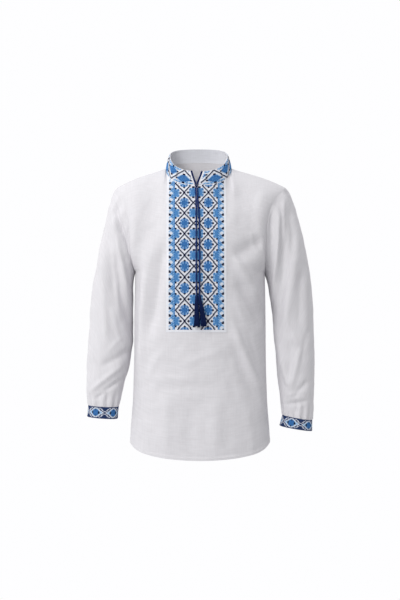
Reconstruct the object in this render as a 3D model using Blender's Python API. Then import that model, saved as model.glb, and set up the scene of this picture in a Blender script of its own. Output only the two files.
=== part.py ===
"""Pullover blouse of white linen with a stand collar, embroidered front panel and cuffs, and tassels.

It has the form it takes when worn, hollow, with both arms hanging. Metres, +Z up.
The wearer faces -Y and the wearer's left is +X. The origin lies between the shoulders,
at the height of the points where the shoulder seams meet the collar.
"""

import math
import random
from collections import namedtuple

import bmesh
import bpy
from mathutils import Vector

# Walls and seams
CLOTH = 0.0012  # wall of the linen
BAND = 0.0020  # wall of the collar and cuffs, which are folded double
PANEL = 0.0010  # wall of the embroidered panel
SEAM = 0.0003  # each edge's distance from the seam line
LIFT = 0.0005  # between the front and the panel that lies on it

# Front and back
UNDERARM_Z = -0.275
HEM_Z = -0.768  # at the centre
HEM_RISE = 0.039  # from the centre to the side seams
SHOULDER_Z = -0.049
SHOULDER_X = {1: 0.231, -1: 0.224}
SHOULDER_ARCH = 0.0045  # the seam's rise above a straight line, over the point of the shoulder
ROUNDNESS = 2.4  # power of the torso's section: 2 is an ellipse, more is squarer
ARMHOLE_X = {1: 0.1745, -1: 0.187}  # half way up the armhole
ARMHOLE_DEPTH = 0.064
ARMHOLE_FULLNESS = 0.9  # power of the armhole's section, where 1 is a circle's
ARMHOLE_START = 0.4  # share of the way up at which it reaches ARMHOLE_X
ARMHOLE_TURN = 5.0  # how late it turns out to the shoulder
ARMHOLE_SPLAY = 0.55  # how far the walls turn outwards along it
SLEEVE_ROUNDNESS = 2.15
HEM_CURVE = 0.55  # share of the hem's rise that is a plain curve; the rest turns up at the sides
YOKE_LEAVE = 0.50  # how far a column stays upright above the underarms, as a share of its height
YOKE_ARRIVE = (0.52, 0.42)  # how far ahead it turns to the seam above, as shares of its depth and height

# Neckline and collar
NECK_X = -0.0035
NECK_HALF = 0.088
NECK_FRONT = 0.084
NECK_BACK = 0.068
NECK_SIDE_Z = 0.004
NECK_FRONT_Z = -0.049
NECK_BACK_Z = 0.027
NECK_POWER = {-1: 2.2, 1: 2.7}
NECK_STEEPNESS = {-1: math.radians(58), 1: math.radians(72)}  # of the cloth that meets the collar
NECK_FLATTENING = 1.6  # how late it flattens from the neckline's middle to the shoulder seam
FLAT = math.radians(4)  # the steepness along the shoulder seam
COLLAR_LEAN = 0.010  # how far the top edge stands inside the bottom edge
COLLAR_CURVE = 1.4  # how late it leans
COLLAR_FRONT_RISE = 0.0365
COLLAR_SIDE_RISE = 0.038
COLLAR_BACK_RISE = 0.0365
COLLAR_FOOT = 0.0009  # between the neckline and the collar's bottom edge

# Slit and embroidered panel
SLIT_X = -0.0095
SLIT_END_Z = -0.205
SLIT_GAP = 0.0010  # half width where the edges meet
SLIT_SPREAD = 0.0032  # half width at the neckline
SLIT_V_Z = -0.090  # where the edges have come together
COLLAR_SPREAD = 0.0162  # half width of the opening at the collar's top edge
PANEL_HALF = 0.0780
PANEL_BOTTOM_Z = -0.4345

# Ties
CORD = 0.0042  # diameter
EDGING = 0.0026  # diameter
EDGING_TURN = 0.4  # share of the collar's height below which the edging comes forward to the knot
EDGING_FORWARD = 0.0044
KNOT_Z = -0.0524
KNOT_SIZE = (0.0090, 0.0056, 0.0070)
HEAD_LENGTH = 0.012
HEAD_RADIUS = 0.0034
STRAND = 0.0014  # width, half way down
STRAND_TAPER = 0.32  # how much narrower it is at the root, and wider at the end
STRAND_POINTS = 4
STRAND_ROOT = 0.003  # how far up inside the head it starts
STRAND_ENDS = (-0.004, 0.003)  # how unevenly the strands end
STRAND_SWING = 0.15  # how soon they swing to the side
TASSEL_END_Z = -0.416
TASSEL_FORWARD = 0.002  # how much further forward the strands end than the head hangs
TASSEL_DEPTH = 0.0050  # half of it, from front to back
TASSEL_SPREAD = 0.7  # power of the strands' spreading on the way down

# The ties' middles at each height, and how far they hang clear of the panel.
Tie = namedtuple("Tie", "z right_x left_x over_panel")
TIES = (
    Tie(-0.0562, -0.0120, -0.0074, 0.0010),
    Tie(-0.0830, -0.0107, -0.0061, 0.0008),
    Tie(-0.1020, -0.0098, -0.0046, 0.0008),
    Tie(-0.1210, -0.0096, -0.0030, 0.0008),
    Tie(-0.1420, -0.0098, -0.0016, 0.0008),
    Tie(-0.1900, -0.0098, -0.0011, 0.0008),
    Tie(-0.2500, -0.0098, -0.0010, 0.0008),
    Tie(-0.3000, -0.0096, -0.0011, 0.0012),
    Tie(-0.3360, -0.0090, -0.0012, 0.0020),
)
Tassel = namedtuple("Tassel", "end_x half_width")
TASSELS = {-1: Tassel(-0.0082, 0.0078), 1: Tassel(0.0094, 0.0078)}

Level = namedtuple("Level", "z half_width front back")
TORSO = (
    Level(-0.780, 0.1900, 0.123, 0.117),
    Level(-0.700, 0.1865, 0.121, 0.113),
    Level(-0.620, 0.1805, 0.118, 0.106),
    Level(-0.500, 0.1770, 0.116, 0.099),
    Level(-0.400, 0.1765, 0.119, 0.100),
    Level(-0.275, 0.1740, 0.125, 0.107),
)

# A sleeve's ring runs through its outer and its inner point. Distances in X are from the middle plane.
Ring = namedtuple("Ring", "outer_x outer_z inner_x inner_z depth y")
SLEEVE_RINGS = {
    1: (
        Ring(0.2310, -0.049, 0.1752, -0.2750, 0.0640, 0.000),
        Ring(0.2510, -0.088, 0.1780, -0.2870, 0.0620, 0.000),
        Ring(0.2740, -0.165, 0.1820, -0.3050, 0.0580, 0.002),
        Ring(0.2935, -0.260, 0.1870, -0.3360, 0.0560, 0.005),
        Ring(0.3040, -0.357, 0.1950, -0.3930, 0.0570, 0.008),
        Ring(0.3085, -0.454, 0.2015, -0.4670, 0.0560, 0.007),
        Ring(0.3090, -0.538, 0.2080, -0.5380, 0.0510, 0.002),
        Ring(0.3070, -0.608, 0.2145, -0.6020, 0.0450, -0.005),
        Ring(0.3010, -0.672, 0.2225, -0.6585, 0.0370, -0.012),
    ),
    -1: (
        Ring(0.2240, -0.049, 0.1752, -0.2750, 0.0640, 0.000),
        Ring(0.2390, -0.084, 0.1780, -0.2870, 0.0620, 0.000),
        Ring(0.2560, -0.146, 0.1800, -0.3050, 0.0590, 0.002),
        Ring(0.2740, -0.230, 0.1808, -0.3360, 0.0570, 0.005),
        Ring(0.2915, -0.325, 0.1808, -0.3920, 0.0570, 0.008),
        Ring(0.2995, -0.425, 0.1815, -0.4600, 0.0560, 0.007),
        Ring(0.3035, -0.510, 0.1900, -0.5230, 0.0520, 0.000),
        Ring(0.3050, -0.583, 0.2060, -0.5850, 0.0460, -0.008),
        Ring(0.2990, -0.632, 0.2190, -0.6360, 0.0370, -0.015),
    ),
}
CUFF_RINGS = {
    1: (
        Ring(0.3010, -0.6728, 0.2225, -0.6593, 0.0370, -0.012),
        Ring(0.3005, -0.7020, 0.2140, -0.6880, 0.0380, -0.014),
    ),
    -1: (
        Ring(0.2990, -0.6328, 0.2190, -0.6368, 0.0370, -0.015),
        Ring(0.3020, -0.6630, 0.2215, -0.6690, 0.0375, -0.017),
    ),
}

# A fold runs from one place to another on a piece seen from the front. Ridges are positive.
Fold = namedtuple("Fold", "x0 z0 x1 z1 width height")
FRONT_FOLDS = (
    Fold(-0.143, -0.195, -0.158, -0.470, 0.019, 0.0062),
    Fold(-0.088, -0.195, -0.128, -0.450, 0.021, -0.0070),
    Fold(0.082, -0.220, 0.148, -0.350, 0.016, 0.0048),
    Fold(0.112, -0.205, 0.150, -0.262, 0.024, -0.0075),
    Fold(0.100, -0.410, 0.150, -0.600, 0.020, 0.0050),
    Fold(0.085, -0.065, 0.165, -0.085, 0.024, -0.0035),
    Fold(-0.100, -0.620, -0.108, -0.775, 0.030, 0.0040),
    Fold(0.060, -0.640, 0.068, -0.775, 0.032, 0.0035),
)
BACK_FOLDS = (
    Fold(-0.120, -0.150, -0.070, -0.420, 0.028, -0.0060),
    Fold(0.125, -0.160, 0.080, -0.400, 0.028, -0.0060),
    Fold(-0.035, -0.330, -0.050, -0.700, 0.030, 0.0050),
    Fold(0.040, -0.380, 0.058, -0.720, 0.030, 0.0050),
    Fold(-0.120, -0.480, -0.110, -0.770, 0.030, 0.0050),
    Fold(0.130, -0.500, 0.118, -0.770, 0.030, 0.0045),
)
SLEEVE_FRONT_FOLDS = {
    1: (
        Fold(0.222, -0.075, 0.222, -0.190, 0.008, 0.0050),
        Fold(0.222, -0.150, 0.196, -0.320, 0.010, 0.0060),
        Fold(0.262, -0.160, 0.232, -0.400, 0.012, 0.0050),
        Fold(0.240, -0.100, 0.244, -0.260, 0.012, -0.0050),
        Fold(0.205, -0.330, 0.238, -0.290, 0.014, -0.0060),
        Fold(0.212, -0.480, 0.240, -0.575, 0.012, 0.0045),
        Fold(0.282, -0.500, 0.240, -0.575, 0.012, 0.0045),
        Fold(0.246, -0.480, 0.246, -0.545, 0.014, -0.0045),
        Fold(0.232, -0.630, 0.285, -0.612, 0.012, -0.0045),
    ),
    -1: (
        Fold(-0.226, -0.085, -0.210, -0.330, 0.010, 0.0060),
        Fold(-0.205, -0.100, -0.186, -0.220, 0.010, -0.0055),
        Fold(-0.252, -0.200, -0.248, -0.420, 0.014, -0.0045),
        Fold(-0.268, -0.240, -0.262, -0.470, 0.012, 0.0045),
        Fold(-0.218, -0.420, -0.190, -0.405, 0.012, -0.0060),
        Fold(-0.200, -0.480, -0.262, -0.560, 0.016, -0.0050),
        Fold(-0.205, -0.560, -0.280, -0.590, 0.012, 0.0050),
        Fold(-0.215, -0.590, -0.270, -0.612, 0.010, -0.0045),
    ),
}
SLEEVE_BACK_FOLDS = {
    1: (
        Fold(0.215, -0.110, 0.212, -0.340, 0.014, 0.0050),
        Fold(0.262, -0.180, 0.262, -0.420, 0.016, -0.0050),
        Fold(0.300, -0.410, 0.222, -0.480, 0.014, -0.0060),
        Fold(0.215, -0.560, 0.290, -0.600, 0.014, 0.0045),
    ),
    -1: (
        Fold(-0.210, -0.110, -0.206, -0.330, 0.014, 0.0050),
        Fold(-0.250, -0.170, -0.252, -0.400, 0.016, -0.0050),
        Fold(-0.294, -0.380, -0.210, -0.450, 0.014, -0.0060),
        Fold(-0.212, -0.540, -0.288, -0.575, 0.014, 0.0045),
    ),
}
FOLD_END = 0.3  # share of a fold's length over which each end dies away
FOLD_FADE = 0.25  # columns next to a side seam or armhole over which the folds die away
SLEEVE_FADE = 0.055  # share of the sleeve's length over which they die away at each end
CUFF_GATHERS = 12  # waves round the sleeve above its cuff
CUFF_GATHER_DEPTH = 0.0022
CUFF_GATHER_REACH = 0.060
HEAD_GATHERS = 12  # waves round the sleeve below its head, of which the upper half shows
HEAD_GATHER_DEPTH = 0.0026
HEAD_GATHER_REACH = 0.110
HEAD_SHARE = 0.34  # of the sleeve, in which it turns from the armhole's outline into its own

# Grids
HEM_ROWS = 11  # from the hem to the panel's bottom
CHEST_ROWS = 6  # from there to the underarms
BACK_HEM_ROWS = 9
BACK_CHEST_ROWS = 6
YOKE_TURNS = (0, 0.11, 0.22, 0.33, 0.44, 0.55, 0.66, 0.77, 0.88, 1.0)  # round the armhole
PANEL_COLUMNS = 4
BACK_COLUMNS = (0.26, 0.52, 0.76, 1.0)
NECK_COLUMNS = (0.07, 0.13, 0.19)  # past the panel's edge, to where the shoulder seam meets the collar
SIDE_COLUMNS = (0.33, 0.46, 0.58, 0.70, 0.81, 0.91, 1.0)
SLEEVE_SIDES = 34
SLEEVE_STEPS = 18
SLEEVE_CUT = 9  # where the sleeve, which is one length of cloth, is divided into two simpler solids
COLLAR_ROWS = 3
CUFF_ROWS = 2
TIE_STEP = 0.011
TASSEL_RINGS = ((1, 0.0), (5, 0.36), (9, 0.70), (13, 1.0))  # how many strands, at which share of the radius

WHITE = (0.86, 0.86, 0.87)
BLUE = (0.12, 0.29, 0.58)
NAVY = (0.012, 0.026, 0.100)


def smooth(t):
    """0 to 1 with level ends."""
    t = max(0.0, min(1.0, t))
    return t * t * (3 - 2 * t)


def mix(a, b, t):
    return a + (b - a) * t


def through(values, place):
    """The value at a place from 0 to len(values) - 1 on a smooth curve through the values."""
    i = max(0, min(len(values) - 2, int(place)))
    t = place - i
    before = values[max(0, i - 1)]
    after = values[min(len(values) - 1, i + 2)]
    a, b = values[i], values[i + 1]
    slope_a, slope_b = (b - before) / 2, (after - a) / 2
    if i == 0:
        slope_a = b - a
    if i == len(values) - 2:
        slope_b = b - a
    return (
        a * (1 + 2 * t) * (1 - t) ** 2
        + b * t * t * (3 - 2 * t)
        + slope_a * t * (1 - t) ** 2
        - slope_b * t * t * (1 - t)
    )


def torso_level(z):
    """The torso's half width and its front and back distances at a height."""
    heights = [level.z for level in TORSO]
    i = max(0, min(len(heights) - 2, sum(z > h for h in heights) - 1))
    place = i + max(0.0, min(1.0, (z - heights[i]) / (heights[i + 1] - heights[i])))
    return Level(z, *(through([level[k] for level in TORSO], place) for k in (1, 2, 3)))


def slit_half(z):
    """Half the slit's width at a height."""
    return SLIT_GAP + (SLIT_SPREAD - SLIT_GAP) * smooth((z - SLIT_V_Z) / (NECK_FRONT_Z - SLIT_V_Z))


def hem_z(x, half_width):
    """The shirt-tail hem, which rises to the side seams."""
    r = min(1.0, abs(x) / half_width)
    return HEM_Z + HEM_RISE * mix(r**10, r**2, HEM_CURVE)


def column_x(face, side, column, z, half_width):
    """Column 0 is the slit's edge or the centre of the back, 1 the panel's edge, 2 the side seam."""
    centre, gap = (SLIT_X, slit_half(z)) if face < 0 else (0.0, 0.0)
    if column <= 1:
        return centre + side * mix(gap, PANEL_HALF, column)
    start = math.asin((abs(centre + side * PANEL_HALF) / half_width) ** (ROUNDNESS / 2))
    angle = mix(start, math.pi / 2, column - 1)
    return side * half_width * math.sin(angle) ** (2 / ROUNDNESS)


def torso_point(face, side, column, z):
    """A point of the torso at or below the underarms. The front has face -1, the back 1."""
    level = torso_level(z)
    x = column_x(face, side, column, z, level.half_width)
    r = min(1.0, abs(x) / level.half_width)
    reach = level.front if face < 0 else level.back
    y = SEAM + (reach - SEAM) * (1 - r**ROUNDNESS) ** (1 / ROUNDNESS)
    return Vector((x, face * y, z))


def neck_point(face, side, angle):
    """The neckline, from the middle of the front or back at angle 0 to the shoulder seam."""
    if angle < 0:
        return neck_point(face, -side, -angle)
    power = 2 / NECK_POWER[face]
    depth, middle_z = (NECK_FRONT, NECK_FRONT_Z) if face < 0 else (NECK_BACK, NECK_BACK_Z)
    x = NECK_X + side * NECK_HALF * math.sin(angle) ** power
    y = SEAM + depth * max(0.0, math.cos(angle)) ** power
    return Vector((x, face * y, mix(middle_z, NECK_SIDE_Z, (angle / (math.pi / 2)) ** 2)))


def neck_angle(face, side, x):
    """The neckline's angle at a distance across, negative where that lies past the middle."""
    share = (x - NECK_X) * side / NECK_HALF
    return math.copysign(math.asin(min(1.0, abs(share)) ** (NECK_POWER[face] / 2)), share)


def column_angle(face, side, column):
    """The neckline's angle where a column of the front or back ends."""
    centre, gap = (SLIT_X, SLIT_SPREAD) if face < 0 else (NECK_X, 0.0)
    if column <= 1:
        return neck_angle(face, side, centre + side * mix(gap, PANEL_HALF, column))
    edge = neck_angle(face, side, centre + side * PANEL_HALF)
    return mix(edge, math.pi / 2, (column - 1) / NECK_COLUMNS[-1])


def shoulder_point(face, side, share):
    """The shoulder seam, from the collar at 0 to the armhole at 1."""
    x = mix(NECK_X + side * NECK_HALF, side * SHOULDER_X[side], share)
    arch = SHOULDER_ARCH * math.sin(math.pi * share**1.5)
    return Vector((x, face * SEAM, mix(NECK_SIDE_Z, SHOULDER_Z, share) + arch))


def armhole_point(face, side, turn):
    """The armhole's edge on the front or back, from the underarm at turn 0 to the shoulder at 1."""
    a = math.pi * turn
    rise = (1 - math.cos(a)) / 2
    underarm_x = torso_level(UNDERARM_Z).half_width
    x = mix(underarm_x, ARMHOLE_X[side], smooth(turn / ARMHOLE_START))
    x = mix(x, SHOULDER_X[side], rise**ARMHOLE_TURN)
    y = SEAM + (ARMHOLE_DEPTH - SEAM) * math.sin(a) ** ARMHOLE_FULLNESS
    return Vector((side * x, face * y, mix(UNDERARM_Z, SHOULDER_Z, rise)))


def armhole_edge(face, side, turn):
    """The armhole on the straight lines between the rows' ends, where the sleeve's first ring lies."""
    i = max(0, min(len(YOKE_TURNS) - 2, sum(turn > t for t in YOKE_TURNS) - 1))
    low, high = YOKE_TURNS[i], YOKE_TURNS[i + 1]
    return armhole_point(face, side, low).lerp(armhole_point(face, side, high), (turn - low) / (high - low))


def armhole_normal(face, side, turn):
    """The direction in which the wall's thickness lies where the sleeve meets the front or back."""
    before = armhole_point(face, side, max(0.0, turn - 0.01))
    along = (armhole_point(face, side, min(1.0, turn + 0.01)) - before).normalized()
    a = math.pi * turn
    out = Vector((side * ARMHOLE_SPLAY, face * math.sin(a), -math.cos(a)))
    return (out - along * out.dot(along)).normalized()


def yoke_curve(face, side, column, turn):
    """A column above the underarms: it starts upright and ends on the neckline or the shoulder seam."""
    start = torso_point(face, side, column, UNDERARM_Z)
    last = 1 + NECK_COLUMNS[-1]
    if column > last:
        end = shoulder_point(face, side, (column - last) / (2 - last))
        steepness = FLAT
    else:
        angle = column_angle(face, side, column)
        end = neck_point(face, side, angle)
        steepness = mix(NECK_STEEPNESS[face], FLAT, (abs(angle) / (math.pi / 2)) ** NECK_FLATTENING)
    height = end.z - start.z
    depth = abs(end.y - start.y)
    across, up = YOKE_ARRIVE
    leave = Vector((0, 0, YOKE_LEAVE * height))
    arrive = Vector((0, -face * math.cos(steepness) * across * depth, math.sin(steepness) * up * height))
    t = turn
    return (
        start * (1 - t) ** 3
        + (start + leave) * 3 * (1 - t) ** 2 * t
        + (end - arrive) * 3 * (1 - t) * t**2
        + end * t**3
    )


def yoke_point(face, side, column, turn):
    """A point of the front or back above the underarms, drawn to the armhole towards the side."""
    point = yoke_curve(face, side, column, turn)
    pull = smooth(column - 1) ** 1.5
    return point + (armhole_point(face, side, turn) - yoke_curve(face, side, 2, turn)) * pull


def body_rows(face, columns, hem_rows, chest_rows):
    """Rows of points of the front or back, from the hem to the neckline and the shoulder seams."""
    half = torso_level(HEM_Z).half_width
    hems = [hem_z(column_x(face, side, column, HEM_Z, half), half) for side, column in columns]
    rows = []
    for k in range(hem_rows):
        heights = [mix(hem, PANEL_BOTTOM_Z, k / hem_rows) for hem in hems]
        rows.append([torso_point(face, side, column, z) for (side, column), z in zip(columns, heights)])
    for k in range(chest_rows):
        z = mix(PANEL_BOTTOM_Z, UNDERARM_Z, k / chest_rows)
        rows.append([torso_point(face, side, column, z) for side, column in columns])
    rows += [[yoke_point(face, side, column, turn) for side, column in columns] for turn in YOKE_TURNS]
    return rows


def fold_height(folds, x, z):
    """How far the folds push a place on a piece out or in."""
    total = 0.0
    for fold in folds:
        run = Vector((fold.x1 - fold.x0, fold.z1 - fold.z0))
        off = Vector((x - fold.x0, z - fold.z0))
        along = off.dot(run) / run.length_squared
        if 0 < along < 1:
            away = (off - run * along).length
            taper = smooth(along / FOLD_END) * smooth((1 - along) / FOLD_END)
            total += fold.height * taper * math.exp(-((away / fold.width) ** 2))
    return total


def ring_point(ring, side, angle):
    """A sleeve ring's point: 0 is outside, a right angle in front, and a half turn against the body."""
    c, s = math.cos(angle), math.sin(angle)
    across = math.copysign(abs(c) ** (2 / SLEEVE_ROUNDNESS), c)
    front = math.copysign(abs(s) ** (2 / SLEEVE_ROUNDNESS), s)
    x = mix(ring.inner_x, ring.outer_x, (1 + across) / 2)
    z = mix(ring.inner_z, ring.outer_z, (1 + across) / 2)
    return Vector((side * x, ring.y - ring.depth * front, z))


def sleeve_ring(side, share):
    """The sleeve's ring at a share of its length."""
    rings = SLEEVE_RINGS[side]
    place = share * (len(rings) - 1)
    return Ring(*(through([ring[k] for ring in rings], place) for k in range(len(Ring._fields))))


def armhole_place(angle):
    """The face and the turn round the armhole at an angle round the sleeve."""
    face = -1 if angle <= math.pi else 1
    return face, 1 - (angle if angle <= math.pi else 2 * math.pi - angle) / math.pi


def sleeve_point(side, angle, share):
    """A point of the sleeve, which starts on the armhole and turns into plain rings."""
    face, turn = armhole_place(angle)
    edge = armhole_edge(face, side, turn)
    edge.x += side * 2 * SEAM
    start = ring_point(SLEEVE_RINGS[side][0], side, angle)
    point = ring_point(sleeve_ring(side, share), side, angle)
    return point + (edge - start) * (1 - smooth(share / HEAD_SHARE))


def gather_height(share, length, angle):
    """The gathers above the cuff and below the sleeve's head."""
    cuff = smooth(1 - (1 - share) * length / CUFF_GATHER_REACH)
    below = share * length
    head = smooth(below / 0.012) * smooth(1 - below / HEAD_GATHER_REACH) * smooth(math.cos(angle) + 0.2)
    cuff_wave = CUFF_GATHER_DEPTH * cuff * math.cos(CUFF_GATHERS * angle)
    return cuff_wave + HEAD_GATHER_DEPTH * head * math.cos(HEAD_GATHERS * angle)


def material(name, colour, roughness):
    made = bpy.data.materials.new(name)
    made.use_nodes = True
    shader = made.node_tree.nodes["Principled BSDF"]
    shader.inputs["Base Color"].default_value = (*colour, 1)
    shader.inputs["Roughness"].default_value = roughness
    return made


def add_object(name, mesh, finish, collection):
    mesh.materials.append(finish)
    mesh.shade_smooth()
    mesh.set_sharp_from_angle(angle=math.radians(50))
    made = bpy.data.objects.new(name, mesh)
    collection.objects.link(made)
    return made


class Sheet:
    """Cloth over rows of points, whose outer side can be pushed out or in before it gets its wall."""

    def __init__(self, rows, closed=False, missing=(), turned_normal=None):
        self.bm = bmesh.new()
        self.grid = [[self.bm.verts.new(point) for point in row] for row in rows]
        self.turned_normal = turned_normal
        for i, (lower, upper) in enumerate(zip(self.grid, self.grid[1:])):
            count = len(lower)
            for j in range(count if closed else count - 1):
                if (i, j) not in missing:
                    k = (j + 1) % count
                    self.bm.faces.new((lower[j], lower[k], upper[k], upper[j]))
        bmesh.ops.triangulate(self.bm, faces=self.bm.faces[:], quad_method="FIXED")
        self.bm.normal_update()

    def normal(self, i, j):
        """The outward direction at a point, which both pieces share at a seam."""
        own = self.grid[i][j].normal.copy()
        return self.turned_normal(i, j, self.grid[i][j].co, own).normalized() if self.turned_normal else own

    def push(self, height):
        """Moves each point outwards by height(row, column, place)."""
        moves = [
            [self.normal(i, j) * height(i, j, vertex.co) for j, vertex in enumerate(row)]
            for i, row in enumerate(self.grid)
        ]
        for row, row_moves in zip(self.grid, moves):
            for vertex, move in zip(row, row_moves):
                vertex.co += move
        self.bm.normal_update()

    def lifted(self, i, j, height):
        """A point above the sheet."""
        return self.grid[i][j].co + self.normal(i, j) * height

    def walled(self, name, thickness):
        """The mesh of the closed wall, with its thickness inside the sheet."""
        faces = list(self.bm.faces)
        rims = [loop for face in faces for loop in face.loops if loop.edge.is_boundary]
        inner = {
            vertex: self.bm.verts.new(vertex.co - self.normal(i, j) * thickness)
            for i, row in enumerate(self.grid)
            for j, vertex in enumerate(row)
        }
        corners = [(loop.vert, loop.link_loop_next.vert) for loop in rims]
        for face in faces:
            self.bm.faces.new([inner[vertex] for vertex in reversed(face.verts)])
        for first, second in corners:
            self.bm.faces.new((second, first, inner[first], inner[second]))
        mesh = bpy.data.meshes.new(name)
        self.bm.to_mesh(mesh)
        self.bm.free()
        return mesh


def body_normal(face, columns, underarm_row):
    """Keeps the front's and the back's walls clear of each other, and of the sleeves'."""

    def turned(i, j, co, own):
        side, column = columns[j]
        if abs(co.y) < 1.5 * SEAM:
            own.y = 0
        if column == 2 and i >= underarm_row:
            turn = YOKE_TURNS[i - underarm_row]
            return own.lerp(armhole_normal(face, side, turn), smooth((turn - 0.3) / 0.3))
        return own

    return turned


def body_folds(folds, columns, row_count):
    """The folds' height at a point of the front or back, which is nothing at its seams."""

    def height(i, j, co):
        fade = smooth((2 - columns[j][1]) / FOLD_FADE) * smooth((row_count - 1 - i) / 2)
        return fade * fold_height(folds, co.x, co.z)

    return height


def make_front(collection, linen, embroidery):
    """The front with its slit, and the panel that lies on it, which is made from the front's points."""
    half = [k / PANEL_COLUMNS for k in range(PANEL_COLUMNS + 1)]
    half += [1 + c for c in NECK_COLUMNS + SIDE_COLUMNS]
    columns = [(-1, c) for c in reversed(half)] + [(1, c) for c in half]
    rows = body_rows(-1, columns, HEM_ROWS, CHEST_ROWS)
    slit = {(i, len(half) - 1) for i in range(len(rows) - 1) if rows[i + 1][len(half)].z > SLIT_END_Z}
    front = Sheet(rows, missing=slit, turned_normal=body_normal(-1, columns, HEM_ROWS + CHEST_ROWS))
    front.push(body_folds(FRONT_FOLDS, columns, len(rows)))
    first = len(half) - 1 - PANEL_COLUMNS
    panel_rows = [
        [front.lifted(i, j, LIFT + PANEL) for j in range(first, first + 2 * PANEL_COLUMNS + 2)]
        for i in range(HEM_ROWS, len(rows))
    ]
    panel = Sheet(
        panel_rows,
        missing={(i - HEM_ROWS, PANEL_COLUMNS) for i, j in slit},
        turned_normal=lambda i, j, co, own: front.normal(i + HEM_ROWS, j + first),
    )
    add_object("front_panel", panel.walled("front_panel", PANEL), embroidery, collection)
    add_object("front", front.walled("front", CLOTH), linen, collection)


def make_back(collection, linen):
    half = [0.0, *BACK_COLUMNS] + [1 + c for c in NECK_COLUMNS + SIDE_COLUMNS]
    columns = [(1, c) for c in reversed(half)] + [(-1, c) for c in half[1:]]
    rows = body_rows(1, columns, BACK_HEM_ROWS, BACK_CHEST_ROWS)
    back = Sheet(rows, turned_normal=body_normal(1, columns, BACK_HEM_ROWS + BACK_CHEST_ROWS))
    back.push(body_folds(BACK_FOLDS, columns, len(rows)))
    add_object("back", back.walled("back", CLOTH), linen, collection)


def round_angles(side):
    """The angles round a sleeve, in the order that faces it outwards."""
    angles = [2 * math.pi * k / SLEEVE_SIDES for k in range(SLEEVE_SIDES)]
    return angles[::-1] if side < 0 else angles


def make_sleeve(collection, linen, side, name):
    """One sleeve, whose solid is divided near the elbow."""
    angles = round_angles(side)
    shares = [(k / SLEEVE_STEPS) ** 0.94 for k in range(SLEEVE_STEPS + 1)]
    rings = SLEEVE_RINGS[side]
    length = rings[0].outer_z - rings[-1].outer_z

    def turned(i, j, co, own):
        if i == 0:
            face, turn = armhole_place(angles[j])
            return own.lerp(armhole_normal(face, side, turn), smooth((turn - 0.3) / 0.3))
        if i == SLEEVE_STEPS:
            own.z = 0
        return own

    def height(i, j, co):
        front = smooth(0.5 + 1.5 * math.sin(angles[j]))
        ends = smooth(shares[i] / SLEEVE_FADE) * smooth((1 - shares[i]) / SLEEVE_FADE)
        folds = front * fold_height(SLEEVE_FRONT_FOLDS[side], co.x, co.z)
        folds += (1 - front) * fold_height(SLEEVE_BACK_FOLDS[side], co.x, co.z)
        return ends * folds + gather_height(shares[i], length, angles[j])

    rows = [[sleeve_point(side, angle, share) for angle in angles] for share in shares]
    sleeve = Sheet(rows, closed=True, turned_normal=turned)
    sleeve.push(height)
    for half, first, last in (("upper", 0, SLEEVE_CUT), ("lower", SLEEVE_CUT, SLEEVE_STEPS)):
        half_rows = [[vertex.co.copy() for vertex in row] for row in sleeve.grid[first : last + 1]]
        cut, beside = (-1, -2) if half == "upper" else (0, 1)
        for point, towards in zip(half_rows[cut], half_rows[beside]):
            point += (towards - point).normalized() * SEAM / 2
        tube = Sheet(half_rows, closed=True, turned_normal=lambda i, j, co, own: sleeve.normal(i + first, j))
        mesh = tube.walled(f"{name}_{half}", CLOTH)
        add_object(f"{name}_{half}", mesh, linen, collection)


def make_cuff(collection, embroidery, side, name):
    top, bottom = CUFF_RINGS[side]
    rows = []
    for k in range(CUFF_ROWS + 1):
        ring = Ring(*(mix(a, b, k / CUFF_ROWS) for a, b in zip(top, bottom)))
        rows.append([ring_point(ring, side, angle) for angle in round_angles(side)])
    cuff = Sheet(rows, closed=True)
    add_object(name, cuff.walled(name, BAND), embroidery, collection)


def collar_point(face, side, angle, share):
    """A point of the collar's outside, from its bottom edge at 0 to its top edge at 1."""
    foot = neck_point(face, side, angle)
    middle_rise = COLLAR_FRONT_RISE if face < 0 else COLLAR_BACK_RISE
    rise = mix(middle_rise, COLLAR_SIDE_RISE, smooth(abs(angle) / (math.pi / 2)))
    inward = Vector((NECK_X - foot.x, -foot.y, 0)).normalized()
    return foot + Vector((0, 0, COLLAR_FOOT + rise * share)) + inward * COLLAR_LEAN * share**COLLAR_CURVE


def collar_end(side, share):
    """The angle at which one end of the collar stops, so that the two ends stand apart in a V."""
    return neck_angle(-1, side, SLIT_X + side * mix(SLIT_SPREAD, COLLAR_SPREAD, share))


def collar_row(share):
    """The collar's points at a share of its height, which stand over those of the front and back."""
    row = []
    for side in (-1, 1):
        end = collar_end(side, share)
        first = column_angle(-1, side, 0)
        front = [k / PANEL_COLUMNS for k in range(PANEL_COLUMNS + 1)] + [1 + c for c in NECK_COLUMNS]
        back = [0.0, *BACK_COLUMNS] + [1 + c for c in NECK_COLUMNS[:-1]]
        places = [(column_angle(-1, side, c) - first) / (math.pi / 2 - first) for c in front]
        half = [collar_point(-1, side, mix(end, math.pi / 2, place), share) for place in places]
        half += [collar_point(1, side, column_angle(1, side, c), share) for c in reversed(back)]
        row += half if side < 0 else half[-2::-1]
    return row[::-1]


def make_collar(collection, embroidery):
    """A band from one side of the slit round the back to the other."""
    collar = Sheet([collar_row(k / COLLAR_ROWS) for k in range(COLLAR_ROWS + 1)])
    add_object("collar", collar.walled("collar", BAND), embroidery, collection)


def front_y(x, z):
    """How far forward the front's cloth lies, which is the more negative the further."""
    side = 1 if x > SLIT_X else -1
    gap = slit_half(z)
    column = max(0.0, (abs(x - SLIT_X) - gap) / (PANEL_HALF - gap))
    if z <= UNDERARM_Z:
        return torso_point(-1, side, column, z).y
    low, high = 0.0, 1.0
    for _ in range(24):
        turn = (low + high) / 2
        if yoke_point(-1, side, column, turn).z < z:
            low = turn
        else:
            high = turn
    return yoke_point(-1, side, column, low).y


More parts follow.
